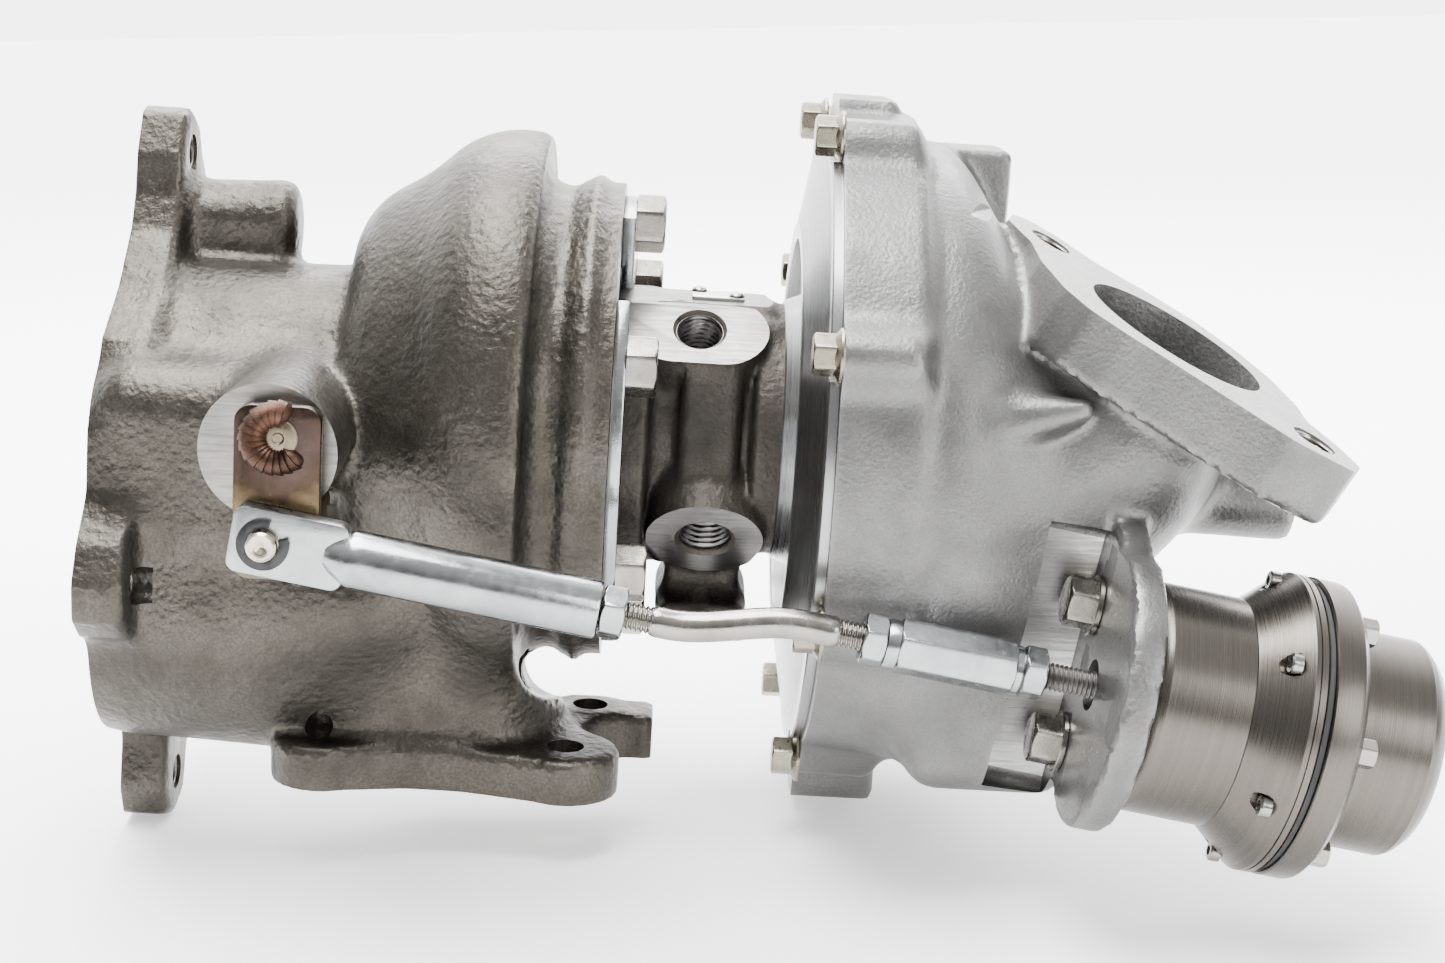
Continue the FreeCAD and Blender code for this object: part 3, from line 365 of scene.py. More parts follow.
def turbine_hollow(P):
    """The passages of the exhaust housing."""
    x, y, z = P
    mouth = blend_min(dot2(y, z, (0, 0), (-18, -22), 30, 26), np.hypot(y + 22, z + 28) - 18, 2)
    return join(slab(mouth, x - 22, 31, 3),
                (drum(P, (50, 0, 0), (86, 0, 0), 22, 0.5), 1),
                (np.hypot(np.hypot(y, z) - 46, x - 86) - 13, 2),
                (drum(P, (84, 0, 0), (93, 0, 0), 45, 1), 2),
                (drum(P, (90, 0, 0), (108, 0, 0), 31, 0.3), 1),
                (cone(P, (78, -17, -100), (80, -19, -44), 19, 17), 4),
                (cone(P, (52, -28, -20), (76, -22, -40), 11, 11), 1))


def turbine_field(P):
    """The exhaust housing, with its passages open."""
    x, y, z = P
    wobble = 0.25 * np.sin(x / 7.0 + np.sin(z / 11.0)) * np.sin(y / 8.0 + 1.0) * np.sin(z / 9.0 + 2.0)
    return np.maximum(turbine_shell(P) + wobble, -turbine_hollow(P))


def machine(piece, cutters, material, planes, node_names, slot_name, finish):
    """Cuts a housing casting, and gives its machined (point, normal) planes their finish."""
    carve(piece, cutters)
    smooth(piece, 38)
    place(piece, material, "housing", slot_name, *node_names)
    finish_faces(piece, finish, planes)


def make_turbine_housing():
    """The iron casting with its machined faces and holes."""
    piece = cast("turbine_casting", (-4, -80, -108), (130, 72, 74), 1.25, turbine_field)
    cutters = [block_mesh((-20, -120, -120), (0, 120, 120)),
               block_mesh((TURBINE_FACE_X, -120, -70), (140, 120, 120)),
               block_mesh((24, -120, -130), (150, 120, INLET_FACE_Z)),
               block_mesh((20, -120, -30), (70, BOSS_FACE_Y, 40)),
               bar_mesh((107.9, 0, 0), (120, 0, 0), 40.3, 96),
               bar_mesh((SHAFT_X, -90, SHAFT_Z), (SHAFT_X, -20, SHAFT_Z), 6.5, 48)]
    cutters += [bar_mesh((-1, y, z), (15, y, z), 4.25, 40) for y, z in OUTLET_HOLES]
    cutters += [bar_mesh((x, y, -90), (x, y, -58), 4.3, 40) for x, y in INLET_HOLES]
    planes = [((0, 0, 0), (-1, 0, 0)), ((0, BOSS_FACE_Y, 0), (0, -1, 0)),
              ((TURBINE_FACE_X, 0, 0), (1, 0, 0)), ((0, 0, INLET_FACE_Z), (0, 0, -1))]
    machine(piece, cutters, IRON, planes, ["turbine_housing"], "turbine_iron", MACHINED_IRON)
    threads = Piece()
    for y, z in OUTLET_HOLES:
        thread_sleeve(threads, Vector((0.4, y, z)), X_DIR * -1, 4.2, 9.8, 1.5)
    place(threads.done("stud_threads", 60), MACHINED_IRON, "housing", "turbine_iron", "turbine_housing")


# ---- materials

class Nodes:
    """A node tree being built."""

    def __init__(self, tree):
        self.tree = tree

    def feed(self, socket, value):
        """Links an output to a socket, or sets a number, a vector or a colour on it."""
        if isinstance(value, bpy.types.NodeSocket):
            self.tree.links.new(value, socket)
        else:
            socket.default_value = (*value, 1) if socket.type == "RGBA" else value

    def node(self, kind, sockets=None, **settings):
        """Adds a node, and fills its sockets by name or number."""
        made = self.tree.nodes.new(kind)
        for key, value in settings.items():
            setattr(made, key, value)
        for key, value in (sockets or {}).items():
            self.feed(made.inputs[key], value)
        return made

    def spread(self, value, low, high, start=0.3, end=0.7):
        """Maps start..end to low..high."""
        made = self.node("ShaderNodeMapRange", {"Value": value, "From Min": start, "From Max": end,
                                                "To Min": low, "To Max": high})
        return made.outputs["Result"]

    def vector(self, operation, a, b=None):
        """Vector arithmetic; b is left out where the operation takes one vector."""
        sockets = {0: a} if b is None else {0: a, 1: b}
        return self.node("ShaderNodeVectorMath", sockets, operation=operation).outputs


class Shader(Nodes):
    """A node material being built."""

    def __init__(self, name):
        self.material = bpy.data.materials.new(name + "_look")
        self.material.use_nodes = True
        super().__init__(self.material.node_tree)
        self.bsdf = self.tree.nodes["Principled BSDF"]
        self.place = self.node("ShaderNodeTexCoord").outputs["Object"]

    def noise(self, per_metre, detail=3.0, roughness=0.55, vector=None):
        """A noise whose features are about 1 / per_metre metres."""
        made = self.node("ShaderNodeTexNoise", {"Scale": per_metre, "Detail": detail, "Roughness": roughness,
                                                "Vector": vector or self.place})
        return made.outputs["Fac"]

    def cells(self, per_metre):
        """Smooth pebbles, for a cast surface."""
        made = self.node("ShaderNodeTexVoronoi", feature="SMOOTH_F1")
        for key, value in (("Scale", per_metre), ("Smoothness", 0.7), ("Vector", self.place)):
            self.feed(made.inputs[key], value)
        return made.outputs["Distance"]

    def mix(self, amount, a, b):
        """Mixes two colours; each is a tuple or a socket."""
        made = self.node("ShaderNodeMix", data_type="RGBA")
        for number, value in ((0, amount), (6, a), (7, b)):
            self.feed(made.inputs[number], value)
        return made.outputs[2]

    def pointiness(self):
        return self.node("ShaderNodeNewGeometry").outputs["Pointiness"]

    def bumps(self, layers):
        """Chains bump layers: (height, depth in metres)."""
        normal = {}
        for height, depth in layers:
            made = self.node("ShaderNodeBump", {"Distance": depth, "Height": height, **normal})
            normal = {"Normal": made.outputs["Normal"]}
        self.feed(self.bsdf.inputs["Normal"], normal["Normal"])

    def rings(self, origin, axis, kind, per_metre, detail=2.0):
        """A noise that only changes along an axis, or with the distance from it."""
        shift = self.vector("SUBTRACT", self.place, origin)[0]
        if kind == "along":
            value = self.vector("DOT_PRODUCT", shift, axis)[1]
        else:
            value = self.vector("LENGTH", self.vector("CROSS_PRODUCT", shift, axis)[0])[1]
        line = self.node("ShaderNodeCombineXYZ", {"X": value})
        return self.noise(per_metre, detail, 0.7, line.outputs[0])

    def finish(self, colour, rough, metallic):
        for key, value in (("Base Color", colour), ("Roughness", rough), ("Metallic", metallic)):
            self.feed(self.bsdf.inputs[key], value)
        return self.material


def cast_metal(name, dark, light, metallic, rough, grain, depth, edge):
    """A rough casting: pebbled, mottled, and rubbed lighter on its edges."""
    s = Shader(name)
    mottle = s.spread(s.noise(45, 4), 0, 1, 0.35, 0.65)
    speck = s.spread(s.noise(grain * 1.7, 2), 0, 1, 0.42, 0.62)
    colour = s.mix(mottle, dark, light)
    darker = tuple(c * 0.72 for c in dark)
    colour = s.mix(s.spread(speck, 0.0, 0.45, 1, 0), colour, darker)
    rubbed = s.spread(s.pointiness(), 0, edge, 0.51, 0.60)
    colour = s.mix(rubbed, colour, tuple(min(c * 1.7, 0.9) for c in light))
    roughness = s.spread(s.noise(160, 3), rough - 0.06, rough + 0.09)
    s.bumps([(s.noise(60, 2), depth * 2.0), (s.cells(grain * 0.55), depth * 0.9),
             (s.noise(grain, 3), depth)])
    return s.finish(colour, roughness, metallic)


def plated(name, tone, tone2, rough, scratch=0.00002):
    """Plated or polished steel: slight clouds, fine scratches, worn edges."""
    s = Shader(name)
    clouds = s.spread(s.noise(140, 4), 0, 1, 0.35, 0.68)
    colour = s.mix(clouds, tone, tone2)
    edge = s.spread(s.pointiness(), 0, 0.5, 0.52, 0.62)
    colour = s.mix(edge, colour, tuple(min(c * 1.25, 0.95) for c in tone))
    roughness = s.spread(s.noise(420, 4), rough - 0.05, rough + 0.10)
    s.bumps([(s.noise(260, 3), scratch * 2), (s.noise(2600, 2), scratch)])
    return s.finish(colour, roughness, 1.0)


def turned_metal(name, tone, tone2, rough, origin, axis, kind, depth=0.00002):
    """A lathe-turned surface with fine rings."""
    s = Shader(name)
    fine = s.rings(origin, axis, kind, 4200)
    broad = s.rings(origin, axis, kind, 420)
    colour = s.mix(s.spread(broad, 0, 1), tone, tone2)
    roughness = s.spread(fine, rough - 0.07, rough + 0.10)
    s.bumps([(broad, depth * 0.8), (fine, depth)])
    return s.finish(colour, roughness, 1.0)


def rubber(name):
    """Matt black rubber."""
    s = Shader(name)
    s.bumps([(s.noise(1500, 3), 0.00003)])
    return s.finish(s.mix(s.noise(90, 2), (0.018, 0.018, 0.018), (0.035, 0.034, 0.033)),
                    s.spread(s.noise(300, 3), 0.62, 0.8), 0.0)


def scratched(name, tone, tone2, rough):
    """A milled face: fine crossing tool marks."""
    s = Shader(name)
    stretch = s.node("ShaderNodeMapping", {"Rotation": (0.5, 0.6, 0.7), "Scale": (0.06, 1.0, 1.0),
                                           "Vector": s.place})
    marks = s.noise(1600, 3, 0.6, stretch.outputs[0])
    clouds = s.spread(s.noise(110, 4), 0, 1, 0.35, 0.65)
    colour = s.mix(clouds, tone, tone2)
    colour = s.mix(s.spread(marks, 0, 0.6, 0.45, 0.7), colour, tuple(c * 0.6 for c in tone))
    roughness = s.spread(marks, rough - 0.05, rough + 0.12)
    s.bumps([(marks, 0.00003), (s.noise(300, 2), 0.00002)])
    return s.finish(colour, roughness, 1.0)


TEMPER_TONES = [(0.0, (0.045, 0.034, 0.029)), (0.16, (0.050, 0.034, 0.028)), (0.28, (0.042, 0.028, 0.020)),
                (0.42, (0.11, 0.080, 0.042)), (0.62, (0.10, 0.083, 0.055)), (1.0, (0.12, 0.106, 0.082))]


def tinted_plate(name, centre):
    """Steel with temper colours spreading from a weld."""
    s = Shader(name)
    far = s.vector("DISTANCE", s.place, centre)[1]
    wave = s.node("ShaderNodeMath", {0: s.noise(220, 3), 1: 0.006, 2: far}, operation="MULTIPLY_ADD")
    ramp = s.node("ShaderNodeValToRGB", {"Fac": s.spread(wave.outputs[0], 0, 1, 0.007, 0.034)})
    stops = ramp.color_ramp.elements
    for stop, (position, tone) in zip(stops, (TEMPER_TONES[0], TEMPER_TONES[-1])):
        stop.position, stop.color = position, (*tone, 1)
    for position, tone in TEMPER_TONES[1:-1]:
        stops.new(position).color = (*tone, 1)
    s.bumps([(s.noise(900, 3), 0.00002)])
    return s.finish(ramp.outputs["Color"], s.spread(s.noise(500, 4), 0.24, 0.42), 1.0)


LEAN = math.radians(8.8)
ACT_AXIS = (math.cos(LEAN), 0, -math.sin(LEAN))
ACT_ORIGIN = (0.2247, -0.084, -0.0355)
PIN_SPOT = (0.0458, 0, -0.0135)
SHAFT_AXIS = (1, 0, 0)
IRON = cast_metal("turbine_iron", (0.043, 0.038, 0.032), (0.088, 0.079, 0.067), 0.85, 0.37,
                  900, 0.00022, 0.35)
CENTRE_IRON = cast_metal("centre_iron", (0.030, 0.026, 0.022), (0.070, 0.060, 0.050), 0.7, 0.50,
                         1100, 0.00018, 0.4)
ALLOY = cast_metal("cast_aluminium", (0.130, 0.128, 0.126), (0.182, 0.179, 0.175), 0.8, 0.39,
                   1700, 0.00008, 0.4)
TURNED_ALLOY = turned_metal("machined_aluminium", (0.25, 0.25, 0.255), (0.34, 0.34, 0.345), 0.26,
                            (0, 0, 0), SHAFT_AXIS, "radial")
GUNMETAL = turned_metal("gunmetal_anodised", (0.095, 0.085, 0.075), (0.114, 0.103, 0.091), 0.27,
                        ACT_ORIGIN, ACT_AXIS, "along")
PIN_STEEL = turned_metal("pin_steel", (0.44, 0.38, 0.29), (0.58, 0.52, 0.42), 0.24,
                         PIN_SPOT, (0, 1, 0), "radial")
ZINC = plated("bright_zinc", (0.27, 0.28, 0.287), (0.36, 0.37, 0.376), 0.19)
YELLOW_ZINC = plated("yellow_zinc", (0.19, 0.170, 0.125), (0.27, 0.25, 0.20), 0.25)
STAINLESS = plated("stainless_steel", (0.24, 0.225, 0.205), (0.32, 0.305, 0.28), 0.20)
DARK_STEEL = plated("dark_steel", (0.13, 0.125, 0.12), (0.22, 0.21, 0.20), 0.36)
BLACK_OXIDE = plated("black_oxide", (0.03, 0.03, 0.032), (0.05, 0.05, 0.05), 0.38)
TINTED = plated("heat_tinted_steel", (0.15, 0.12, 0.085), (0.22, 0.19, 0.145), 0.34)
COPPER_WELD = plated("weld_copper", (0.085, 0.045, 0.032), (0.045, 0.028, 0.022), 0.46, 0.00006)
NAMEPLATE = plated("nameplate_aluminium", (0.62, 0.62, 0.60), (0.70, 0.70, 0.68), 0.34)
WHEEL = plated("wheel_alloy", (0.34, 0.31, 0.28), (0.42, 0.39, 0.36), 0.42, 0.00005)
BRONZE = plated("bronze", (0.56, 0.38, 0.19), (0.66, 0.47, 0.26), 0.3)
NICKEL = plated("nickel", (0.20, 0.186, 0.164), (0.28, 0.268, 0.243), 0.22)
MILLED_ZINC = plated("milled_zinc", (0.31, 0.318, 0.325), (0.39, 0.40, 0.40), 0.30, 0.00004)
RUBBER = rubber("black_rubber")
DARK_MACHINED = scratched("dark_machined", (0.16, 0.155, 0.15), (0.25, 0.24, 0.23), 0.30)
MACHINED_IRON = scratched("machined_iron", (0.20, 0.19, 0.175), (0.27, 0.255, 0.235), 0.32)
MILLED_ALLOY = scratched("milled_alloy", (0.30, 0.297, 0.29), (0.37, 0.366, 0.36), 0.30)
TINTED_PLATE = tinted_plate("tinted_plate", (0.0470, -0.0812, 0.0070))
SLOTS = {m.name.removesuffix("_look"): m for m in (
    IRON, CENTRE_IRON, ALLOY, TURNED_ALLOY, ZINC, YELLOW_ZINC, STAINLESS, DARK_STEEL, BLACK_OXIDE,
    TINTED, COPPER_WELD, GUNMETAL, NAMEPLATE, WHEEL, BRONZE, RUBBER)}


def dress_cad_nodes():
    """Gives every CAD node the material of its slot."""
    for entry in frame["record"]["subparts"]:
        materials = frame["nodes"][entry["node"]].data.materials
        materials.clear()
        materials.append(SLOTS[entry["material_slot"]])


def place(piece, material, body, slot_name, *replaced):
    """Finishes a new piece: its material, its body, and the nodes it stands for; slot_name is not used."""
    if material:
        piece.data.materials.clear()
        piece.data.materials.append(material)
    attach(piece, body)
    if replaced:
        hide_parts(*replaced)


# ---- stage

def make_floor():
    """A pale floor that touches the leaning object; it glows more behind it."""
    lean = math.radians(4.6)
    half = 12000
    floor = mesh_object("floor", [(-half, -half, 0), (half, -half, 0), (half, half, 0), (-half, half, 0)],
                        [(0, 1, 2, 3)])
    floor.rotation_euler = (0, -lean, 0)
    floor.location = (0, 0, -0.1056)
    s = Shader("pale_floor")
    s.bumps([(s.noise(3, 2), 0.0005)])
    split = s.node("ShaderNodeSeparateXYZ", {0: s.node("ShaderNodeNewGeometry").outputs["Position"]})
    s.feed(s.bsdf.inputs["Emission Color"], (1, 1, 1))
    s.feed(s.bsdf.inputs["Emission Strength"], s.spread(split.outputs["Y"], 0.6, 3.6, 0.0, 0.4))
    floor.data.materials.append(s.finish((0.93, 0.93, 0.93), s.spread(s.noise(5, 2), 0.7, 0.8), 0.0))


def make_world():
    """A studio that is bright above and behind, and dim elsewhere."""
    world = bpy.data.worlds.new("studio")
    bpy.context.scene.world = world
    world.use_nodes = True
    w = Nodes(world.node_tree)
    split = w.node("ShaderNodeSeparateXYZ", {0: w.node("ShaderNodeTexCoord").outputs["Generated"]})
    high = w.spread(split.outputs["Z"], 0.28, 1.2, 0.1, 0.8)
    behind = w.spread(split.outputs["Y"], 0.28, 5.2, -0.1, 0.6)
    larger = w.node("ShaderNodeMath", {0: high, 1: behind}, operation="MAXIMUM")
    back = w.tree.nodes["Background"]
    w.feed(back.inputs["Strength"], larger.outputs[0])
    w.feed(back.inputs["Color"], (1, 1, 1))


def make_stage():
    """A pale floor and soft light."""
    make_floor()
    make_world()
    lights = [("key", (-0.12, -0.1, 1.25), (0.14, -0.02, 0.0), 1.2, 0.8, 66),
              ("fill", (0.95, -0.9, 0.45), (0.16, -0.03, 0.0), 0.6, 0.6, 8),
              ("back", (0.2, 0.9, 0.9), (0.14, 0.0, 0.0), 1.2, 0.5, 26)]
    for name, spot, target, width, height, power in lights:
        data = bpy.data.lights.new(name, "AREA")
        data.shape = "RECTANGLE"
        data.size, data.size_y, data.energy = width, height, power
        lamp = bpy.data.objects.new(name, data)
        lamp.location = spot
        lamp.rotation_euler = (Vector(target) - Vector(spot)).to_track_quat("-Z", "Y").to_euler()
        bpy.context.scene.collection.objects.link(lamp)


EYE = (0.124, -0.53043, 0.10119)
YAW, PITCH, ROLL = math.radians(1.838), math.radians(12.224), math.radians(-3.675)
LENS_MM, SENSOR_MM = 55.83, 36


def make_camera():
    """A camera in front of the linkage, a little above, and rolled with the leaning object."""
    forward = Vector((math.sin(YAW) * math.cos(PITCH), math.cos(YAW) * math.cos(PITCH), -math.sin(PITCH)))
    level = Vector((math.cos(YAW), -math.sin(YAW), 0))
    down = forward.cross(level)
    right = level * math.cos(ROLL) + down * math.sin(ROLL)
    up = level * math.sin(ROLL) - down * math.cos(ROLL)
    turn = Matrix((right, up, -forward)).transposed()
    data = bpy.data.cameras.new("camera")
    data.sensor_width = SENSOR_MM
    data.lens = LENS_MM
    camera = bpy.data.objects.new("camera", data)
    camera.matrix_world = Matrix.Translation(EYE) @ turn.to_4x4()
    bpy.context.scene.collection.objects.link(camera)
    bpy.context.scene.camera = camera


# ---- turned and pressed pieces

ACT_DIR = Vector(ACT_AXIS)
ACT_UP = Vector((math.sin(LEAN), 0, math.cos(LEAN)))
PIN = Vector((45.8, -84.0, -13.5))
ACT_START = Vector((224.7, -84.0, -35.5))
JOG = (ACT_START - PIN).dot(ACT_UP)
ORIGIN = Vector((0, 0, 0))
X_DIR, Y_DIR, Z_DIR = Vector((1, 0, 0)), Vector((0, 1, 0)), Vector((0, 0, 1))
LEVER_BACK, LEVER_FRONT = 78.2, 81.2        # how far the lever's faces stand towards -Y
COVER_FACE_X = 162.0
COVER_BOLT_CIRCLE = 78.2
CLAMP_THICKNESS = 3.0
PLATE_SEAT_Z = 30.5
THREAD_DEPTH = 0.6              # as a share of the pitch


def on_link(s, up=0.0):
    """A point s along the link from its pin."""
    return PIN + ACT_DIR * s + ACT_UP * up


def on_act(s, across=0.0, up=0.0):
    """A point in the actuator's directions."""
    return ACT_START + ACT_DIR * s + Y_DIR * across + ACT_UP * up


def around(angle, radius, x):
    """A point on a circle about the shaft; the angle runs from the top towards -Y."""
    turn = math.radians(angle)
    return Vector((x, -radius * math.sin(turn), radius * math.cos(turn)))


def cover_spots(x, radius=COVER_BOLT_CIRCLE):
    """Eight points, one for each screw of the cover."""
    return [around(22.5 + 45 * k, radius, x) for k in range(8)]


def clamp_angle(k):
    """Where the clamps' bolts stand around the shaft, in degrees."""
    return 5 + 60 * k


def can_spots(s, radius, first):
    """Six points around the actuator's axis; first is an angle in degrees."""
    turns = [math.radians(60 * k + first) for k in range(6)]
    return [on_act(s, radius * math.cos(turn), radius * math.sin(turn)) for turn in turns]


def hex_limit(theta, across):
    """How far a hexagon reaches in a direction, with its corners slightly turned off."""
    third = math.radians(60)
    return min(across / 2 / math.cos(theta % third - third / 2), across * 0.568)


class Piece:
    """Collects the vertices (mm) and faces of one object."""

    def __init__(self):
        self.vertices = []
        self.faces = []

    def add(self, vertices, faces):
        base = len(self.vertices)
        self.vertices += [tuple(v) for v in vertices]
        self.faces += [tuple(k + base for k in face) for face in faces]
        return self

    def rings(self, rings, closed=False):
        """Skins a row of rings of equal length, and caps the ends unless they close."""
        sides = len(rings[0])
        faces = []
        pairs = len(rings) if closed else len(rings) - 1
        for j in range(pairs):
            low, high = j * sides, (j + 1) % len(rings) * sides
            faces += [(low + k, low + (k + 1) % sides, high + (k + 1) % sides, high + k)
                      for k in range(sides)]
        if not closed:
            faces.append(tuple(reversed(range(sides))))
            faces.append(tuple(range(pairs * sides, (pairs + 1) * sides)))
        return self.add([v for ring in rings for v in ring], faces)

    def spin(self, outline, origin, axis, sides=72, across=0.0, pitch=0.0, closed=False):
        """Turns (s, r) points about an axis; across makes a hexagon, pitch cuts a thread."""
        origin, axis = Vector(origin), Vector(axis).normalized()
        side = axis.cross(Y_DIR if abs(axis.y) < 0.9 else X_DIR).normalized()
        up = axis.cross(side)
        rings = []
        for s, r in outline:
            def reach(share):
                limit = min(r, hex_limit(2 * math.pi * share, across)) if across else r
                groove = abs(2 * ((s / pitch - share) % 1) - 1) if pitch else 0
                return limit - pitch * THREAD_DEPTH * groove
            rings.append(circle(origin + axis * s, side, up, reach, sides))
        return self.rings(rings, closed)

    def prism(self, outline, low, high, edge, origin, u, v):
        """Extrudes a (u, v) outline from low to high along u x v, with rounded edges."""
        w = u.cross(v)
        rings = []
        for height, inset in ((low, edge), (low + edge * 0.3, edge * 0.3), (low + edge, 0),
                              (high - edge, 0), (high - edge * 0.3, edge * 0.3), (high, edge)):
            rings.append([origin + u * a + v * b + w * height for a, b in offset_loop(outline, inset)])
        return self.rings(rings)

    def sweep(self, path, radii, side=Y_DIR, sides=40):
        """A round bar along a path that lies square to side."""
        rings = []
        for k, (point, radius) in enumerate(zip(path, radii)):
            ahead = path[min(k + 1, len(path) - 1)] - path[max(k - 1, 0)]
            up = ahead.normalized().cross(side)
            rings.append(circle(point, side, up, radius, sides)[::-1])
        return self.rings(rings)

    def done(self, name, angle=32):
        piece = mesh_object(name, self.vertices, self.faces)
        smooth(piece, angle)
        return piece


def offset_loop(points, inset):
    """Moves a counter-clockwise outline inwards."""
    moved = []
    count = len(points)
    for k, (x, y) in enumerate(points):
        (x0, y0), (x1, y1) = points[k - 1], points[(k + 1) % count]
        length = math.hypot(x1 - x0, y1 - y0)
        moved.append((x - (y1 - y0) / length * inset, y + (x1 - x0) / length * inset))
    return moved


def round_box(u0, u1, v0, v1, radius, steps=6):
    """A rectangle with rounded corners."""
    outline = []
    corners = [(u1 - radius, v0 + radius, -90), (u1 - radius, v1 - radius, 0),
               (u0 + radius, v1 - radius, 90), (u0 + radius, v0 + radius, 180)]
    for cu, cv, start in corners:
        for k in range(steps + 1):
            a = math.radians(start + 90 * k / steps)
            outline.append((cu + radius * math.cos(a), cv + radius * math.sin(a)))
    return outline


def hex_outline(s0, s1, across, ends=(True, True)):
    """The outline of a hexagon bar, turned down at its chosen ends."""
    low, high = 0.475 * across, 0.58 * across
    rise = (high - low) * 0.6
    steps = [k / 6 for k in range(7)]
    start = [(s0 + rise * t, low + (high - low) * t) for t in steps] if ends[0] else [(s0, high)]
    finish = [(s1 - rise * t, low + (high - low) * t) for t in steps[::-1]] if ends[1] else [(s1, high)]
    return start + finish


def thread_outline(s0, s1, radius, pitch):
    """Levels close enough to show a thread."""
    count = int((s1 - s0) / pitch * 8)
    return [(s0 + (s1 - s0) * k / count, radius) for k in range(count + 1)]


def hex_nut(name, start, axis, across, length, bore):
    """A chamfered nut."""
    outline = hex_outline(0, length, across)
    outline += [(length, bore + 0.7), (length - 0.6, bore), (0.6, bore), (0, bore + 0.7)]
    return Piece().spin(outline, start, axis, 72, across, closed=True).done(name)


def hex_screw(piece, head, axis, across, height, flange=0.0, washer=0.0):
    """A hexagon head that stands on its seat, with a flange or a loose washer under it."""
    base = 0.0
    if washer:
        piece.spin([(0, washer - 0.3), (0.25, washer), (1.1, washer), (1.35, washer - 0.3)], head, axis)
        base = 1.35
    if flange:
        piece.spin([(0, flange - 0.1), (0.35, flange), (0.8, flange - 0.15), (2.0, across * 0.5)],
                   head, axis)
        base = 1.0
    piece.spin(hex_outline(base, height, across, (False, True)), head, axis, 72, across)
    piece.spin([(height - 0.2, across * 0.39), (height + 0.02, across * 0.39),
                (height + 0.02, across * 0.36), (height - 0.25, across * 0.33)], head, axis)


# ---- linkage

def make_clevis():
    """The flat eye and its round barrel."""
    tongue = Piece().prism(round_box(-7.0, 17.0, -7.0, 7.0, 2.4), -2.5, 2.5, 0.5, PIN, ACT_DIR, ACT_UP)
    eye = tongue.done("rod_end_eye")
    carve(eye, [bar_mesh(PIN + Y_DIR * 5, PIN - Y_DIR * 5, 3.15, 48)])
    smooth(eye, 32)
    place(eye, MILLED_ZINC, "link", "bright_zinc", "rod_end_clevis")
    barrel = Piece().spin([(12.5, 3.0), (14.0, 4.1), (16.0, 5.2), (17.2, 5.85), (18.2, 6.1), (20.0, 6.1),
                           (68.9, 6.1), (69.5, 5.8), (69.6, 5.3), (69.6, 3.3), (68.6, 2.9)],
                          PIN, ACT_DIR, 96)
    place(barrel.done("rod_end_barrel"), ZINC, "link", "bright_zinc", "rod_end_clevis")


def make_bent_rod():
    """The stepped rod, threaded at both ends."""
    path, radii = [], []
    for k in range(61):
        s = 80.5 + (119.0 - 80.5) * k / 60
        t = min(max((s - 84.0) / 28.0, 0), 1)
        path.append(on_link(s, JOG * t * t * (3 - 2 * t)))
        end = min(k, 60 - k)
        radii.append(3.25 - 0.45 * max(0, 1 - end / 2) ** 2)
    rod = Piece().sweep(path, radii)
    rod.spin(thread_outline(60, 81, 3.0, 1.0), PIN, ACT_DIR, 36, pitch=1.0)
    rod.spin(thread_outline(118.5, 140, 3.0, 1.0), on_link(0, JOG), ACT_DIR, 36, pitch=1.0)
    place(rod.done("bent_rod", 60), STAINLESS, "link", "stainless_steel", "bent_link_rod")


def make_adjusters():
    """The lock nuts, the long adjuster and the threaded rod."""
    for name, s, up, length in (("jam_nut_clevis", 70.0, 0.0, 5.0), ("jam_nut_front", 124.0, JOG, 4.9),
                                ("jam_nut_rear", 158.1, JOG, 4.8)):
        nut = hex_nut(name + "_piece", on_link(s, up), ACT_DIR, 10.0, length, 3.0)
        place(nut, ZINC, "link", "bright_zinc", name)
    outline = [(129.0, 3.6), (129.0, 4.9), (129.5, 5.15), (131.5, 5.15)] + hex_outline(131.5, 156.4, 10.5)
    outline += [(156.4, 5.0), (157.6, 5.0), (158.0, 4.7), (158.0, 3.6), (157.0, 3.05), (130, 3.05)]
    body = Piece().spin(outline, on_link(0, JOG), ACT_DIR, 72, 10.5, closed=True)
    place(body.done("adjuster"), ZINC, "link", "bright_zinc", "turnbuckle")
    rod = Piece().spin(thread_outline(150, 186, 3.0, 1.0), on_link(0, JOG), ACT_DIR, 36, pitch=1.0)
    rod.spin([(0, 2.9), (32.2, 2.9)], on_act(4), ACT_DIR, 36)
    place(rod.done("threaded_rod", 60), DARK_STEEL, "link", "dark_steel", "actuator_rod")


def weld_bead(centre):
    """A rippled bead that runs most of the way around the shaft's end."""
    path, radii = [], []
    for k in range(241):
        t = k / 240
        angle = math.radians(62 + 262 * t)
        out = X_DIR * math.cos(angle) + Z_DIR * math.sin(angle)
        path.append(centre + out * (4.7 + 0.5 * math.sin(3 * t)))
        swell = min(1, 3.2 * math.sqrt(t * (1 - t)) + 0.25)
        radii.append((2.75 + 0.45 * ((t * 17) % 1) - 0.2 * math.sin(9 * t)) * swell)
    return Piece().sweep(path, radii, Y_DIR, 28)


def clip_outline():
    """An open ring with inner lugs."""
    turns = [math.radians(72 + 306 * k / 60) for k in range(61)]
    outline = [(5.4 * math.cos(a), 5.4 * math.sin(a)) for a in turns]
    for k, a in enumerate(turns[::-1]):
        reach = 2.5 if 8 < (k % 20) < 13 else 3.3
        outline.append((reach * math.cos(a), reach * math.sin(a)))
    return outline


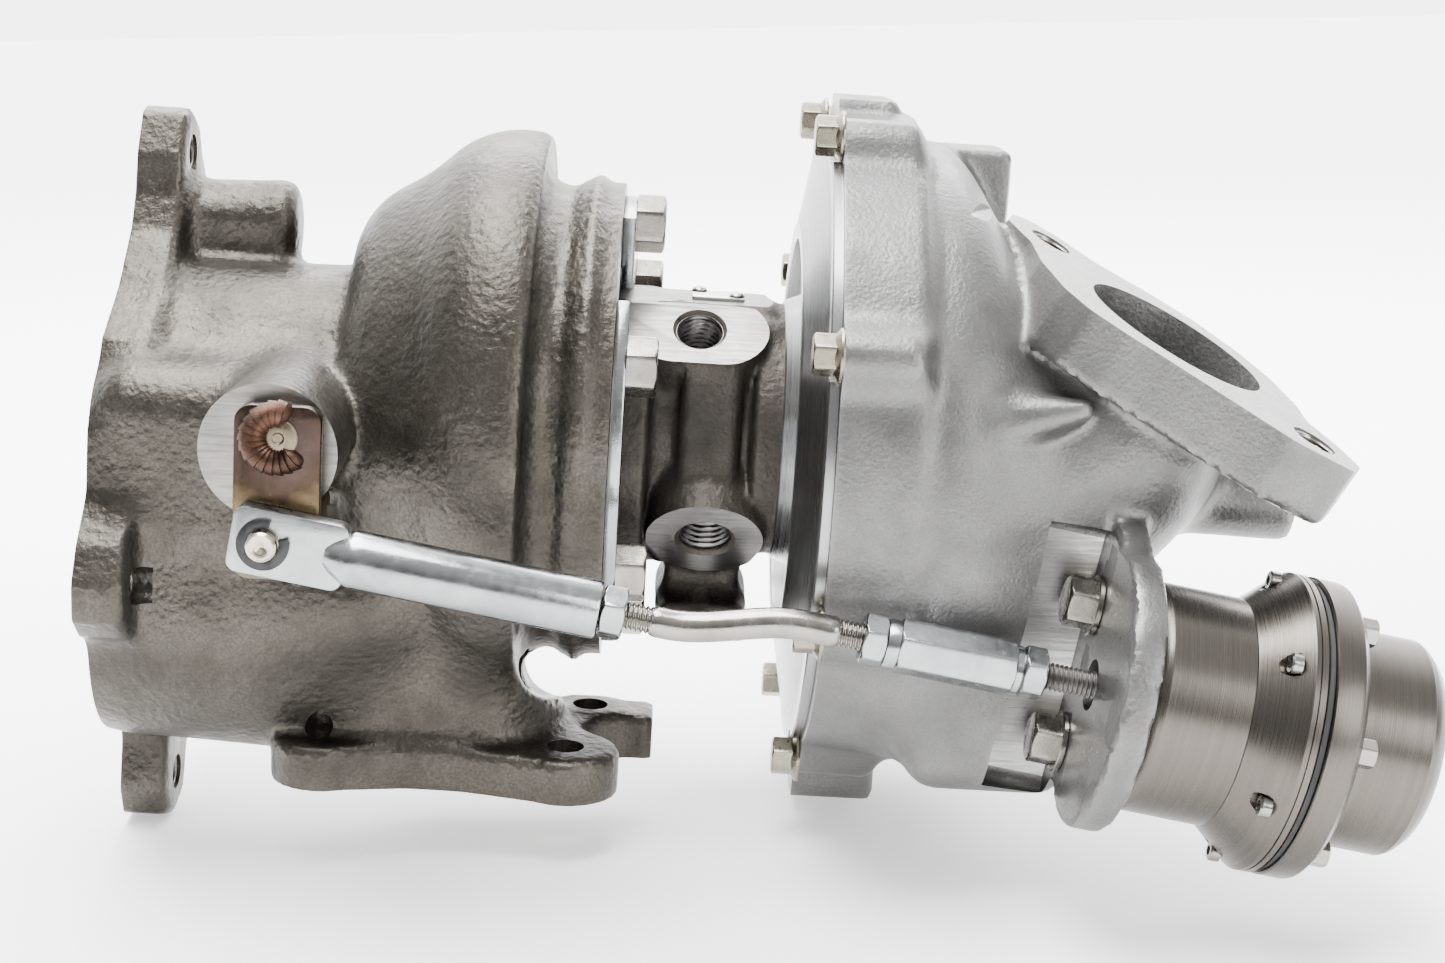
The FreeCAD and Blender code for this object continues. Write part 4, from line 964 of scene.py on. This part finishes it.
def make_lever():
    """The lever, the weld around the shaft's end, the pin and its clip."""
    outline = round_box(38.4, 56.2, -22.5, 14.2, 3.6)
    plate = Piece().prism(outline, LEVER_BACK, LEVER_FRONT, 0.45, ORIGIN, X_DIR, Z_DIR)
    place(plate.done("lever_plate"), TINTED_PLATE, "wastegate", "heat_tinted_steel", "wastegate_lever")
    shaft_end = Vector((SHAFT_X, -81.0, SHAFT_Z))
    shaft = Piece().spin([(-59, 3.6), (-58.4, 3.95), (0.0, 3.95), (0.9, 3.75), (1.2, 3.2), (1.2, 1.3),
                          (0.8, 0.9), (0.5, 0.2)], shaft_end, Y_DIR * -1)
    place(shaft.done("shaft_round"), TINTED, "wastegate", "heat_tinted_steel")
    bead = weld_bead(shaft_end)
    place(bead.done("weld_bead", 50), COPPER_WELD, "wastegate", "weld_copper", "lever_weld")
    pin = Piece().spin([(0, 3.0), (7.5, 3.0), (7.6, 2.4), (9.3, 2.4), (9.4, 3.1), (11.2, 3.1), (11.7, 2.6),
                        (11.7, 1.6), (11.5, 1.2), (11.0, 0.5), (10.8, 0.1)],
                       Vector((PIN.x, -LEVER_BACK, PIN.z)), Y_DIR * -1)
    place(pin.done("pin_piece"), PIN_STEEL, "wastegate", "stainless_steel", "lever_pin")
    clip = Piece().prism(clip_outline(), 86.8, 87.5, 0.12, Vector((PIN.x, 0, PIN.z)), X_DIR, Z_DIR)
    place(clip.done("clip_piece"), BLACK_OXIDE, "wastegate", "black_oxide", "e_clip")


# ---- actuator

def make_actuator():
    """The can with its rings, cap and screws."""
    body = Piece().spin([(0.0, 7.0), (0.0, 22.6), (0.4, 23.0), (2.9, 24.2), (3.1, 24.2), (20.2, 24.2),
                         (20.5, 24.0), (20.9, 24.3), (29.2, 31.3), (29.6, 31.6), (30.4, 31.6), (30.5, 31.3),
                         (30.7, 31.3), (30.8, 31.6), (31.9, 31.6), (32.0, 31.3), (32.2, 31.3), (32.3, 31.6),
                         (32.5, 31.4), (32.5, 26), (30.5, 22.5), (5.5, 22.5), (5.5, 7.0)],
                        ACT_START, ACT_DIR, 144, closed=True).done("can")
    pockets = [bar_mesh(start, end, 2.5, 32)
               for start, end in zip(can_spots(18, 29.0, 20), can_spots(27.2, 29.0, 20))]
    carve(body, pockets)
    smooth(body, 28)
    place(body, GUNMETAL, "housing", "gunmetal_anodised", "actuator_body")
    screws = Piece()
    for spot in can_spots(0, 29.0, 20):
        screws.spin([(25.9, 1.0), (25.0, 1.05), (25.0, 1.8), (25.3, 2.15), (27.2, 2.15)], spot, ACT_DIR, 36)
    place(screws.done("ring_screw_heads"), STAINLESS, "housing", "stainless_steel", "actuator_ring_screws")
    ring = Piece().spin([(34.0, 26), (34.0, 31.2), (34.3, 31.6), (39.2, 31.6), (39.9, 31.4), (41.2, 29.9),
                         (41.5, 29.4), (41.5, 19), (39.0, 19), (39.0, 26)],
                        ACT_START, ACT_DIR, 144, closed=True)
    place(ring.done("rear_ring", 28), GUNMETAL, "housing", "gunmetal_anodised", "actuator_ring")
    cap = Piece().spin([(41.5, 22.6), (41.9, 23.0), (58.2, 23.0), (58.5, 22.8), (59.3, 22.5), (61.4, 20.6),
                        (62.0, 19.6), (62.0, 6.0), (61.8, 5.8)], ACT_START, ACT_DIR, 144)
    place(cap.done("cap_piece", 28), GUNMETAL, "housing", "gunmetal_anodised", "actuator_cap")
    heads = Piece()
    for spot in can_spots(41.5, 26.6, -10):
        hex_screw(heads, spot, ACT_DIR, 5.4, 3.4)
    place(heads.done("cap_screw_heads"), STAINLESS, "housing", "stainless_steel", "actuator_cap_screws")
    bolts = Piece()
    for across, up in ((12.0, 14.0), (12.0, -17.0)):
        hex_screw(bolts, on_act(-7.0, across, up), ACT_DIR * -1, 10.0, 7.1, washer=6.6)
    place(bolts.done("bracket_bolts"), NICKEL, "housing", "bright_zinc",
          "actuator_bolts", "actuator_washers")


def make_spring():
    """The coil spring inside the can."""
    turns, steps = 6, 40
    low, high = 6.7, 28.2
    rings = []
    for k in range(turns * steps + 1):
        angle = 2 * math.pi * k / steps
        out = Y_DIR * math.cos(angle) + ACT_UP * math.sin(angle)
        middle = on_act(low + (high - low) * k / (turns * steps)) + out * 14.7
        rings.append(circle(middle, out, ACT_DIR, 1.1, 14))
    spring = Piece().rings(rings).done("coil_spring", 60)
    place(spring, DARK_STEEL, "housing", "dark_steel", "actuator_spring")
    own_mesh(spring)


# ---- clamps, screws and small trim

def make_clamps():
    """The three clamp arcs with their six bolts."""
    for k in (-1, 1, 3):
        angles = [clamp_angle(k) - 15 + 90 * j / 40 for j in range(41)]
        rim = [around(angle, 53.5, 0) for angle in angles]
        rim += [around(angle, 35.5, 0) for angle in angles[::-1]]
        plate = Piece().prism([(p.y, p.z) for p in rim], 0, CLAMP_THICKNESS, 0.5,
                              Vector((TURBINE_FACE_X, 0, 0)), Y_DIR, Z_DIR)
        place(plate.done("clamp_arc"), ZINC, "housing", "bright_zinc", "turbine_clamp_plates")
    bolts = Piece()
    for k in range(6):
        spot = around(clamp_angle(k), 48, TURBINE_FACE_X + CLAMP_THICKNESS)
        hex_screw(bolts, spot, X_DIR, 12.0, 6.8)
    place(bolts.done("clamp_bolt_heads"), NICKEL, "housing", "bright_zinc", "turbine_bolts")


def make_cover_bolts():
    """The flanged screws around the cover."""
    bolts = Piece()
    for spot in cover_spots(COVER_FACE_X):
        hex_screw(bolts, spot, X_DIR * -1, 8.0, 6.4, flange=5.8)
    place(bolts.done("cover_bolt_heads"), YELLOW_ZINC, "housing", "yellow_zinc", "cover_bolts")


def make_nameplate():
    """The blank plate and its two rivets."""
    outline = round_box(131, 143.5, -3, 9, 0.8, 3)
    plate = Piece().prism(outline, PLATE_SEAT_Z, PLATE_SEAT_Z + 0.8, 0.15, ORIGIN, X_DIR, Y_DIR)
    place(plate.done("blank_plate"), NAMEPLATE, "housing", "nameplate_aluminium", "nameplate")
    rivets = Piece()
    for x, y in ((141.6, -0.8), (132.8, 6.8)):
        dome = [(1.9 * math.sin(math.radians(a)), 1.9 * math.cos(math.radians(a))) for a in range(0, 90, 9)]
        rivets.spin([(0, 1.9)] + [(s * 0.7 + 0.1, r) for s, r in dome], Vector((x, y, 31.2)), Z_DIR, 32)
    place(rivets.done("plate_rivets", 50), STAINLESS, "housing", "nameplate_aluminium", "nameplate_rivets")


def make_backplate():
    """The turned disc behind the cover."""
    disc = Piece().spin([(152.9, 14), (152.9, 30.6), (153.3, 31), (158.1, 33), (158.5, 33.4), (158.5, 45.8),
                         (155.6, 46), (155.2, 46.4), (155.2, 49.6), (155.6, 50.2), (158.9, 68.6),
                         (159.5, 69.8), (159.6, 74.0), (159.9, 74.5), (161.9, 74.5), (161.95, 71.9),
                         (165, 71.9), (165, 9.7), (159.5, 9.7), (159.5, 14)],
                        ORIGIN, X_DIR, 180, closed=True).done("disc")
    carve(disc, [bar_mesh(start, end, 6.2, 40) for start, end in zip(cover_spots(150), cover_spots(163))])
    smooth(disc, 28)
    place(disc, TURNED_ALLOY, "housing", "machined_aluminium", "compressor_backplate")


# ---- wheels

def bladed_wheel(count, start, end, hub, tip, turn, thickness=0.9):
    """Blades whose angle about the shaft changes along it."""
    wheel = Piece()
    rows, cols = 18, 7
    for blade in range(count):
        for side in (-1, 1):
            grid = []
            for i in range(rows + 1):
                t = i / rows
                x = start + (end - start) * t
                for j in range(cols + 1):
                    r = hub(t) - 0.6 + (tip(t) - hub(t) + 0.6) * j / cols
                    angle = 2 * math.pi * blade / count + turn(t, r) + side * thickness / 2 / max(r, 4)
                    grid.append((x, r * math.cos(angle), r * math.sin(angle)))
            faces = []
            for i in range(rows):
                for j in range(cols):
                    a = i * (cols + 1) + j
                    quad = (a, a + 1, a + cols + 2, a + cols + 1)
                    faces.append(quad if side > 0 else quad[::-1])
            wheel.add(grid, faces)
        base = len(wheel.vertices) - 2 * (rows + 1) * (cols + 1)
        wheel.faces += blade_rim(base, rows, cols)
    return wheel


def blade_rim(base, rows, cols):
    """Closes the gap between a blade's two sides."""
    n = (rows + 1) * (cols + 1)
    border = [j for j in range(cols + 1)]
    border += [i * (cols + 1) + cols for i in range(1, rows + 1)]
    border += [rows * (cols + 1) + j for j in range(cols - 1, -1, -1)]
    border += [i * (cols + 1) for i in range(rows - 1, 0, -1)]
    faces = []
    for k, a in enumerate(border):
        b = border[(k + 1) % len(border)]
        faces.append((base + a, base + b, base + n + b, base + n + a))
    return faces


def make_turbine_wheel():
    """The turbine wheel, its hub and the shaft."""
    def hub(t):
        return 6 + 17 * t ** 2.6

    def tip(t):
        return 20.6 + 0.6 * t + 2.2 * max(0, (t - 0.55) / 0.45) ** 1.5

    wheel = bladed_wheel(11, 67, 92.6, hub, tip, lambda t, r: 1.0 * (1 - t) ** 2)
    outline = [(65.2, 3.0), (65.2, 5.2), (66.4, 6.0)]
    outline += [(67 + 25.6 * k / 12, hub(k / 12)) for k in range(13)]
    outline += [(93.4, 23.2), (95, 23.0), (95.4, 8.3), (110.3, 8.3), (110.6, 4.5), (197.6, 4.5), (198, 4.1)]
    wheel.spin(outline, ORIGIN, X_DIR, 96)
    wheel.spin(hex_outline(59.5, 65.6, 9.0), ORIGIN, X_DIR, 72, 9.0)
    place(wheel.done("turbine_rotor", 40), WHEEL, "rotor", "wheel_alloy", "turbine_wheel_shaft")


def make_compressor_wheel():
    """The compressor wheel and its nut."""
    def hub(t):
        return 33.4 - 25.4 * min(1, t * 1.02) ** 0.5

    def tip(t):
        return 33.7 - 10.2 * min(1, t / 0.45) ** 0.8

    wheel = bladed_wheel(12, 167.4, 194, hub, tip, lambda t, r: -1.15 * t ** 1.4, 0.7)
    outline = [(166.0, 4.52), (166.0, 33.4), (166.3, 33.8), (167.1, 33.8)]
    outline += [(167.4 + 26.6 * k / 16, hub(k / 16)) for k in range(17)]
    outline += [(196, 7.4), (196, 4.52)]
    wheel.spin(outline, ORIGIN, X_DIR, 96, closed=True)
    place(wheel.done("compressor_rotor", 40), TURNED_ALLOY, "rotor", "machined_aluminium",
          "compressor_wheel")
    nut = hex_nut("shaft_nut", Vector((196.1, 0, 0)), X_DIR, 10.0, 6.0, 4.5)
    place(nut, DARK_STEEL, "rotor", "dark_steel", "compressor_lock_nut")


# ---- centre housing

PADS = {"feed": (52.0, 133.0, 5.35, 13.0, 24.0), "coolant": (-43.0, 137.0, 6.2, 14.0, 14.2)}
PAD_HEIGHT = 33.0
DRAIN_X = 137.0
DRAIN_FACE_Z = -47.0


def pad_axis(name):
    """The outward direction of a port pad."""
    turn = math.radians(PADS[name][0])
    return Vector((0, -math.cos(turn), math.sin(turn)))


def pad_field(P, name, x0, x1, radius):
    """A stadium-shaped pad that stands out from the shaft's axis."""
    x, y, z = P
    out = pad_axis(name)
    height = y * out.y + z * out.z
    across = y * out.z - z * out.y
    return slab(dot2(x, across, (x0, 0), (x1, 0), radius, radius), height - 20, 15, 0.8)


def centre_field(P):
    """The bearing housing with its pads, ribs and drain foot."""
    x, y, z = P
    neck = brick(P, (128, -13, -44), (146, 13, -14), 2.5)
    foot = brick(P, (127, -23, -50), (147.5, 23, -39), 2)
    body = join(drum(P, (112, 0, 0), (156, 0, 0), 22.5, 2),
                (drum(P, (109, 0, 0), (122.3, 0, 0), 35, 1.2), 4),
                (drum(P, (146.5, 0, 0), (160, 0, 0), 30, 1.5), 4),
                (brick(P, (129.5, -27.5, -24), (143.5, 4, 24), 2.5), 2.5),
                (brick(P, (120, -21, -30), (150, 16, 20), 5), 3),
                (brick(P, (143, -17, 6), (152, 20, 27), 3.5), 4),
                (brick(P, (122, -10, 10), (150, 16, 30.5), 2), 3),
                (pad_field(P, "feed", 127.3, 138.4, 10.4), 1.4),
                (pad_field(P, "coolant", 136.5, 137.2, 13.2), 1.6),
                (blend_min(neck, foot, 5), 4))
    wobble = 0.18 * np.sin(x / 3.1 + np.sin(z / 4.0)) * np.sin(y / 4.3) * np.sin(z / 3.7 + 1)
    return body + wobble


def thread_sleeve(piece, mouth, outward, radius, depth, pitch):
    """The threaded wall of a tapped hole, as a thin sleeve that stands in it."""
    side = outward.cross(X_DIR if abs(outward.x) < 0.9 else Y_DIR).normalized()
    down = side.cross(outward)
    levels = int(depth / pitch * 8)
    rings = []
    for k in range(levels + 1):
        s = -depth * k / levels

        def crest(share):
            phase = (s / pitch - share) % 1
            return radius - pitch * 0.5 * (1 - abs(2 * phase - 1)) * min(1, -s / pitch)

        rings.append(circle(mouth + outward * s, side, down, crest, 48))
    for s in (-depth, 0):
        rings.append(circle(mouth + outward * s, side, down, radius + 0.15, 48))
    piece.rings([ring[::-1] for ring in rings], closed=True)


def make_centre_housing():
    """The bearing housing with machined pads and threaded ports."""
    piece = cast("centre_casting", (108, -46, -52), (158, 42, 42), 0.8, centre_field)
    cutters = [block_mesh((80, -90, -90), (109, 90, 90)), block_mesh((153, -90, -90), (190, 90, 90)),
               block_mesh((100, -90, -90), (170, 90, DRAIN_FACE_Z)),
               block_mesh((100, -90, PLATE_SEAT_Z), (170, 90, 80)),
               bar_mesh((100, 0, 0), (160, 0, 0), 7.55, 64),
               bar_mesh((DRAIN_X, 0, -60), (DRAIN_X, 0, -9), 8, 48)]
    cutters += [bar_mesh((DRAIN_X, y, -60), (DRAIN_X, y, -37), 3.4, 32) for y in (-17, 17)]
    planes = [((0, 0, DRAIN_FACE_Z), (0, 0, -1)), ((0, 0, PLATE_SEAT_Z), (0, 0, 1))]
    threads = Piece()
    for name, (_, x, radius, depth, clear) in PADS.items():
        out = pad_axis(name)
        mouth = Vector((x, 0, 0)) + out * PAD_HEIGHT
        planes.append((mouth, out))
        cutters.append(bar_mesh(mouth, mouth + out * 20, clear, 48))
        cutters.append(bar_mesh(mouth - out * depth, mouth + out * 5, radius + 0.1, 48))
        cutters.append(bar_mesh(mouth - out * 1.0, mouth + out * 0.1, radius - 0.1, 48, radius + 1.0))
        thread_sleeve(threads, mouth - out * 0.9, out, radius, depth - 1.2, 1.5)
    machine(piece, cutters, CENTRE_IRON, planes, ["center_housing"], "centre_iron", DARK_MACHINED)
    place(threads.done("port_threads", 60), DARK_MACHINED, "housing", "centre_iron", "center_housing")


def finish_faces(piece, material, planes):
    """Gives the faces on machined (point, normal) planes a material of their own."""
    mesh = piece.data
    mesh.materials.append(material)
    count = len(mesh.polygons)
    middle, facing = np.zeros(count * 3), np.zeros(count * 3)
    mesh.polygons.foreach_get("center", middle)
    mesh.polygons.foreach_get("normal", facing)
    middle = middle.reshape(-1, 3) / MM
    facing = facing.reshape(-1, 3)
    index = np.zeros(count, np.int32)
    mesh.polygons.foreach_get("material_index", index)
    for point, normal in planes:
        flat = np.abs((middle - np.array(point)) @ np.array(normal)) < 0.03
        index[flat & (facing @ np.array(normal) > 0.99)] = len(mesh.materials) - 1
    mesh.polygons.foreach_set("material_index", index)
    mesh.update()


# ---- compressor cover

MOUTH = Vector((235.9, -50.0, 35.0))
OUT = Vector((0.424, -0.151, 0.893)).normalized()
LONG = Vector((0.618, -0.672, -0.407)).normalized()
SHORT = OUT.cross(LONG)
OUTLET_OUTLINE = [
    (-52, -1), (-46.5, -9.5), (-36, -13.5), (-25, -23.5), (-12, -31), (-3, -32.5), (6, -29.5), (13, -25.5),
    (42, -12.5), (51.5, -1), (49, 6.5), (40, 10.5), (31, 12), (24, 19), (12, 26), (0, 28.5), (-12, 27.5),
    (-24, 21), (-34, 12), (-45, 9.5), (-51, 5)]
STUB_Y, STUB_Z = -36.5, -2.6
POCKET_REACH = 20.5             # from the actuator's axis back to the wall behind it


def along_axis(P, origin, axis):
    """How far each point stands along an axis."""
    return sum((p - o) * a for p, o, a in zip(P, origin, axis))


def bracket_field(P):
    """The plate that carries the actuator."""
    s = along_axis(P, ACT_START, ACT_DIR)
    across = along_axis(P, ACT_START, Y_DIR)
    up = along_axis(P, ACT_START, ACT_UP)
    plate = blend_min(dot2(across, up, (0, 0), (34, 8), 29.7, 22),
                      dot2(across, up, (18, 20), (46, 33), 13, 10), 8)
    return slab(plate, s + 3.5, 3.5, 1.0)


def duct_field(P, r0, r1, r2):
    """The bent passage from the volute to the outlet flange."""
    high = MOUTH - OUT * 27
    middle = MOUTH - OUT * 38 + Vector((-4, 2, 1))
    field = cone(P, tuple(high), tuple(middle), r0, r1)
    return blend_min(field, cone(P, tuple(middle), (184, -45, -34), r1, r2), 6)


def volute_field(P):
    """The scroll of the compressor cover, wider towards the low front."""
    x, y, z = P
    low_front = 0.5 - 0.5 * (0.66 * y + 0.75 * z) / np.maximum(np.hypot(y, z), 1)
    tube = 19.5 + 8.0 * low_front
    return np.hypot(np.hypot(y, z) - 50.5, x - 180 - 8 * low_front) - tube


def cover_shell(P):
    """The outside of the compressor cover."""
    body = join(drum(P, (158, 0, 0), (180.5, 0, 0), 76.8, 2.0),
                (volute_field(P), 4),
                (cone(P, (186, 0, 0), (214, 0, 0), 48, 27), 9),
                (drum(P, (200, 0, 0), (229, 0, 0), 27, 0.8), 5),
                (drum(P, (220, 0, 0), (240, 0, 0), 26, 0.8), 0.5),
                (duct_field(P, 25, 26, 27), 12))
    over_face = along_axis(P, MOUTH, OUT) + 3 - 1.1 * np.maximum(0, 201 - P[0])
    body = join(blend_max(body, over_face, 9),
                (brick(P, (182, -71, -66), (219, -14, -8), 8), 7),
                (drum(P, (205, STUB_Y, STUB_Z), (268, STUB_Y, STUB_Z), 9, 0.8), 6),
                (cone(P, (197, -66, 17), (213, -70, 21), 7.0, 2.5), 3),
                (brick(P, (184, 2, 45), (204.8, 26, 69.3), 1.6), 3),
                (brick(P, (158, -14, -88.5), (182, 10, -66), 2), 3),
                (brick(P, (158, -9, 60), (176, 15, 80), 2), 3))
    for start, end in zip(cover_spots(158, 76.5), cover_spots(179, 76.5)):
        body = blend_min(body, drum(P, tuple(start), tuple(end), 5.6, 2), 6)
    return blend_min(body, bracket_field(P), 2.5)


def outlet_flange_field(P):
    """The two-bolt outlet flange."""
    a = along_axis(P, MOUTH, LONG)
    b = along_axis(P, MOUTH, SHORT)
    h = along_axis(P, MOUTH, OUT)
    return slab(outline2(a, b, OUTLET_OUTLINE), h + 6.1, 8.1, 1.0)


def cover_field(P):
    """The compressor cover with its hollows."""
    x, y, z = P
    shell = blend_min(cover_shell(P), outlet_flange_field(P), 3.5)
    wobble = 0.15 * np.sin(x / 5.0 + np.sin(z / 8.0)) * np.sin(y / 6.0 + 1.0) * np.sin(z / 7.0)
    hollow = np.hypot(np.hypot(y, z) - 52, x - 180) - 14.5
    hollow = np.minimum(hollow, duct_field(P, 19, 18, 15))
    hollow = np.minimum(hollow, drum(P, tuple(MOUTH - OUT * 30), tuple(MOUTH), 19, 1))
    return np.maximum(shell + wobble, -hollow)


def make_cover():
    """The aluminium cover with its machined faces and holes."""
    piece = cast("cover_casting", (156, -116, -92), (274, 86, 84), 1.3, cover_field)
    top = MOUTH + OUT * 30
    pocket = Piece().prism(round_box(-46, POCKET_REACH, -30, 31, 3), 7.0, 21.0, 0.1,
                           ACT_START, Y_DIR, ACT_UP * -1)
    cutters = [block_mesh((100, -150, -150), (COVER_FACE_X, 150, 150)),
               bar_mesh(MOUTH, top, 52, 64),
               bar_mesh(MOUTH - OUT * 14, MOUTH + OUT * 2, 21, 96),
               bar_mesh((150, 0, 0), (165.2, 0, 0), 72.05, 160),
               bar_mesh((160, 0, 0), (169.9, 0, 0), 60, 128),
               bar_mesh((165, 0, 0), (250, 0, 0), 24, 96),
               bar_mesh((206, STUB_Y, STUB_Z), (280, STUB_Y, STUB_Z), 6.4, 48),
               bar_mesh(on_act(-26), on_act(2), 5.5, 48),
               (pocket.vertices, pocket.faces),
               bar_mesh(on_act(0), on_act(80), 33, 96)]
    inserts = Piece()
    for side in (-1, 1):
        mouth = MOUTH + LONG * (39.9 * side)
        cutters.append(bar_mesh(mouth - OUT * 14, mouth + OUT * 2, 4.95, 48))
        thread_sleeve(inserts, mouth - OUT * 0.4, OUT, 4.75, 12.0, 1.25)
    cutters += [bar_mesh(start, end, 2.55, 24) for start, end in zip(cover_spots(150), cover_spots(172))]
    planes = [((COVER_FACE_X, 0, 0), X_DIR * -1), (MOUTH, OUT),
              (ACT_START + Y_DIR * POCKET_REACH, Y_DIR * -1), (on_act(-7), ACT_DIR * -1)]
    machine(piece, cutters, ALLOY, planes, ["compressor_cover", "compressor_outlet_flange"],
            "cast_aluminium", MILLED_ALLOY)
    place(inserts.done("insert_threads", 60), STAINLESS, "housing", "stainless_steel",
          "outlet_thread_inserts")


def build():
    """The whole model around the frame."""
    dress_cad_nodes()
    make_turbine_housing()
    make_centre_housing()
    make_cover()
    make_clevis()
    make_bent_rod()
    make_adjusters()
    make_lever()
    make_actuator()
    make_spring()
    make_clamps()
    make_cover_bolts()
    make_nameplate()
    make_backplate()
    make_turbine_wheel()
    make_compressor_wheel()


build()
make_stage()
make_camera()
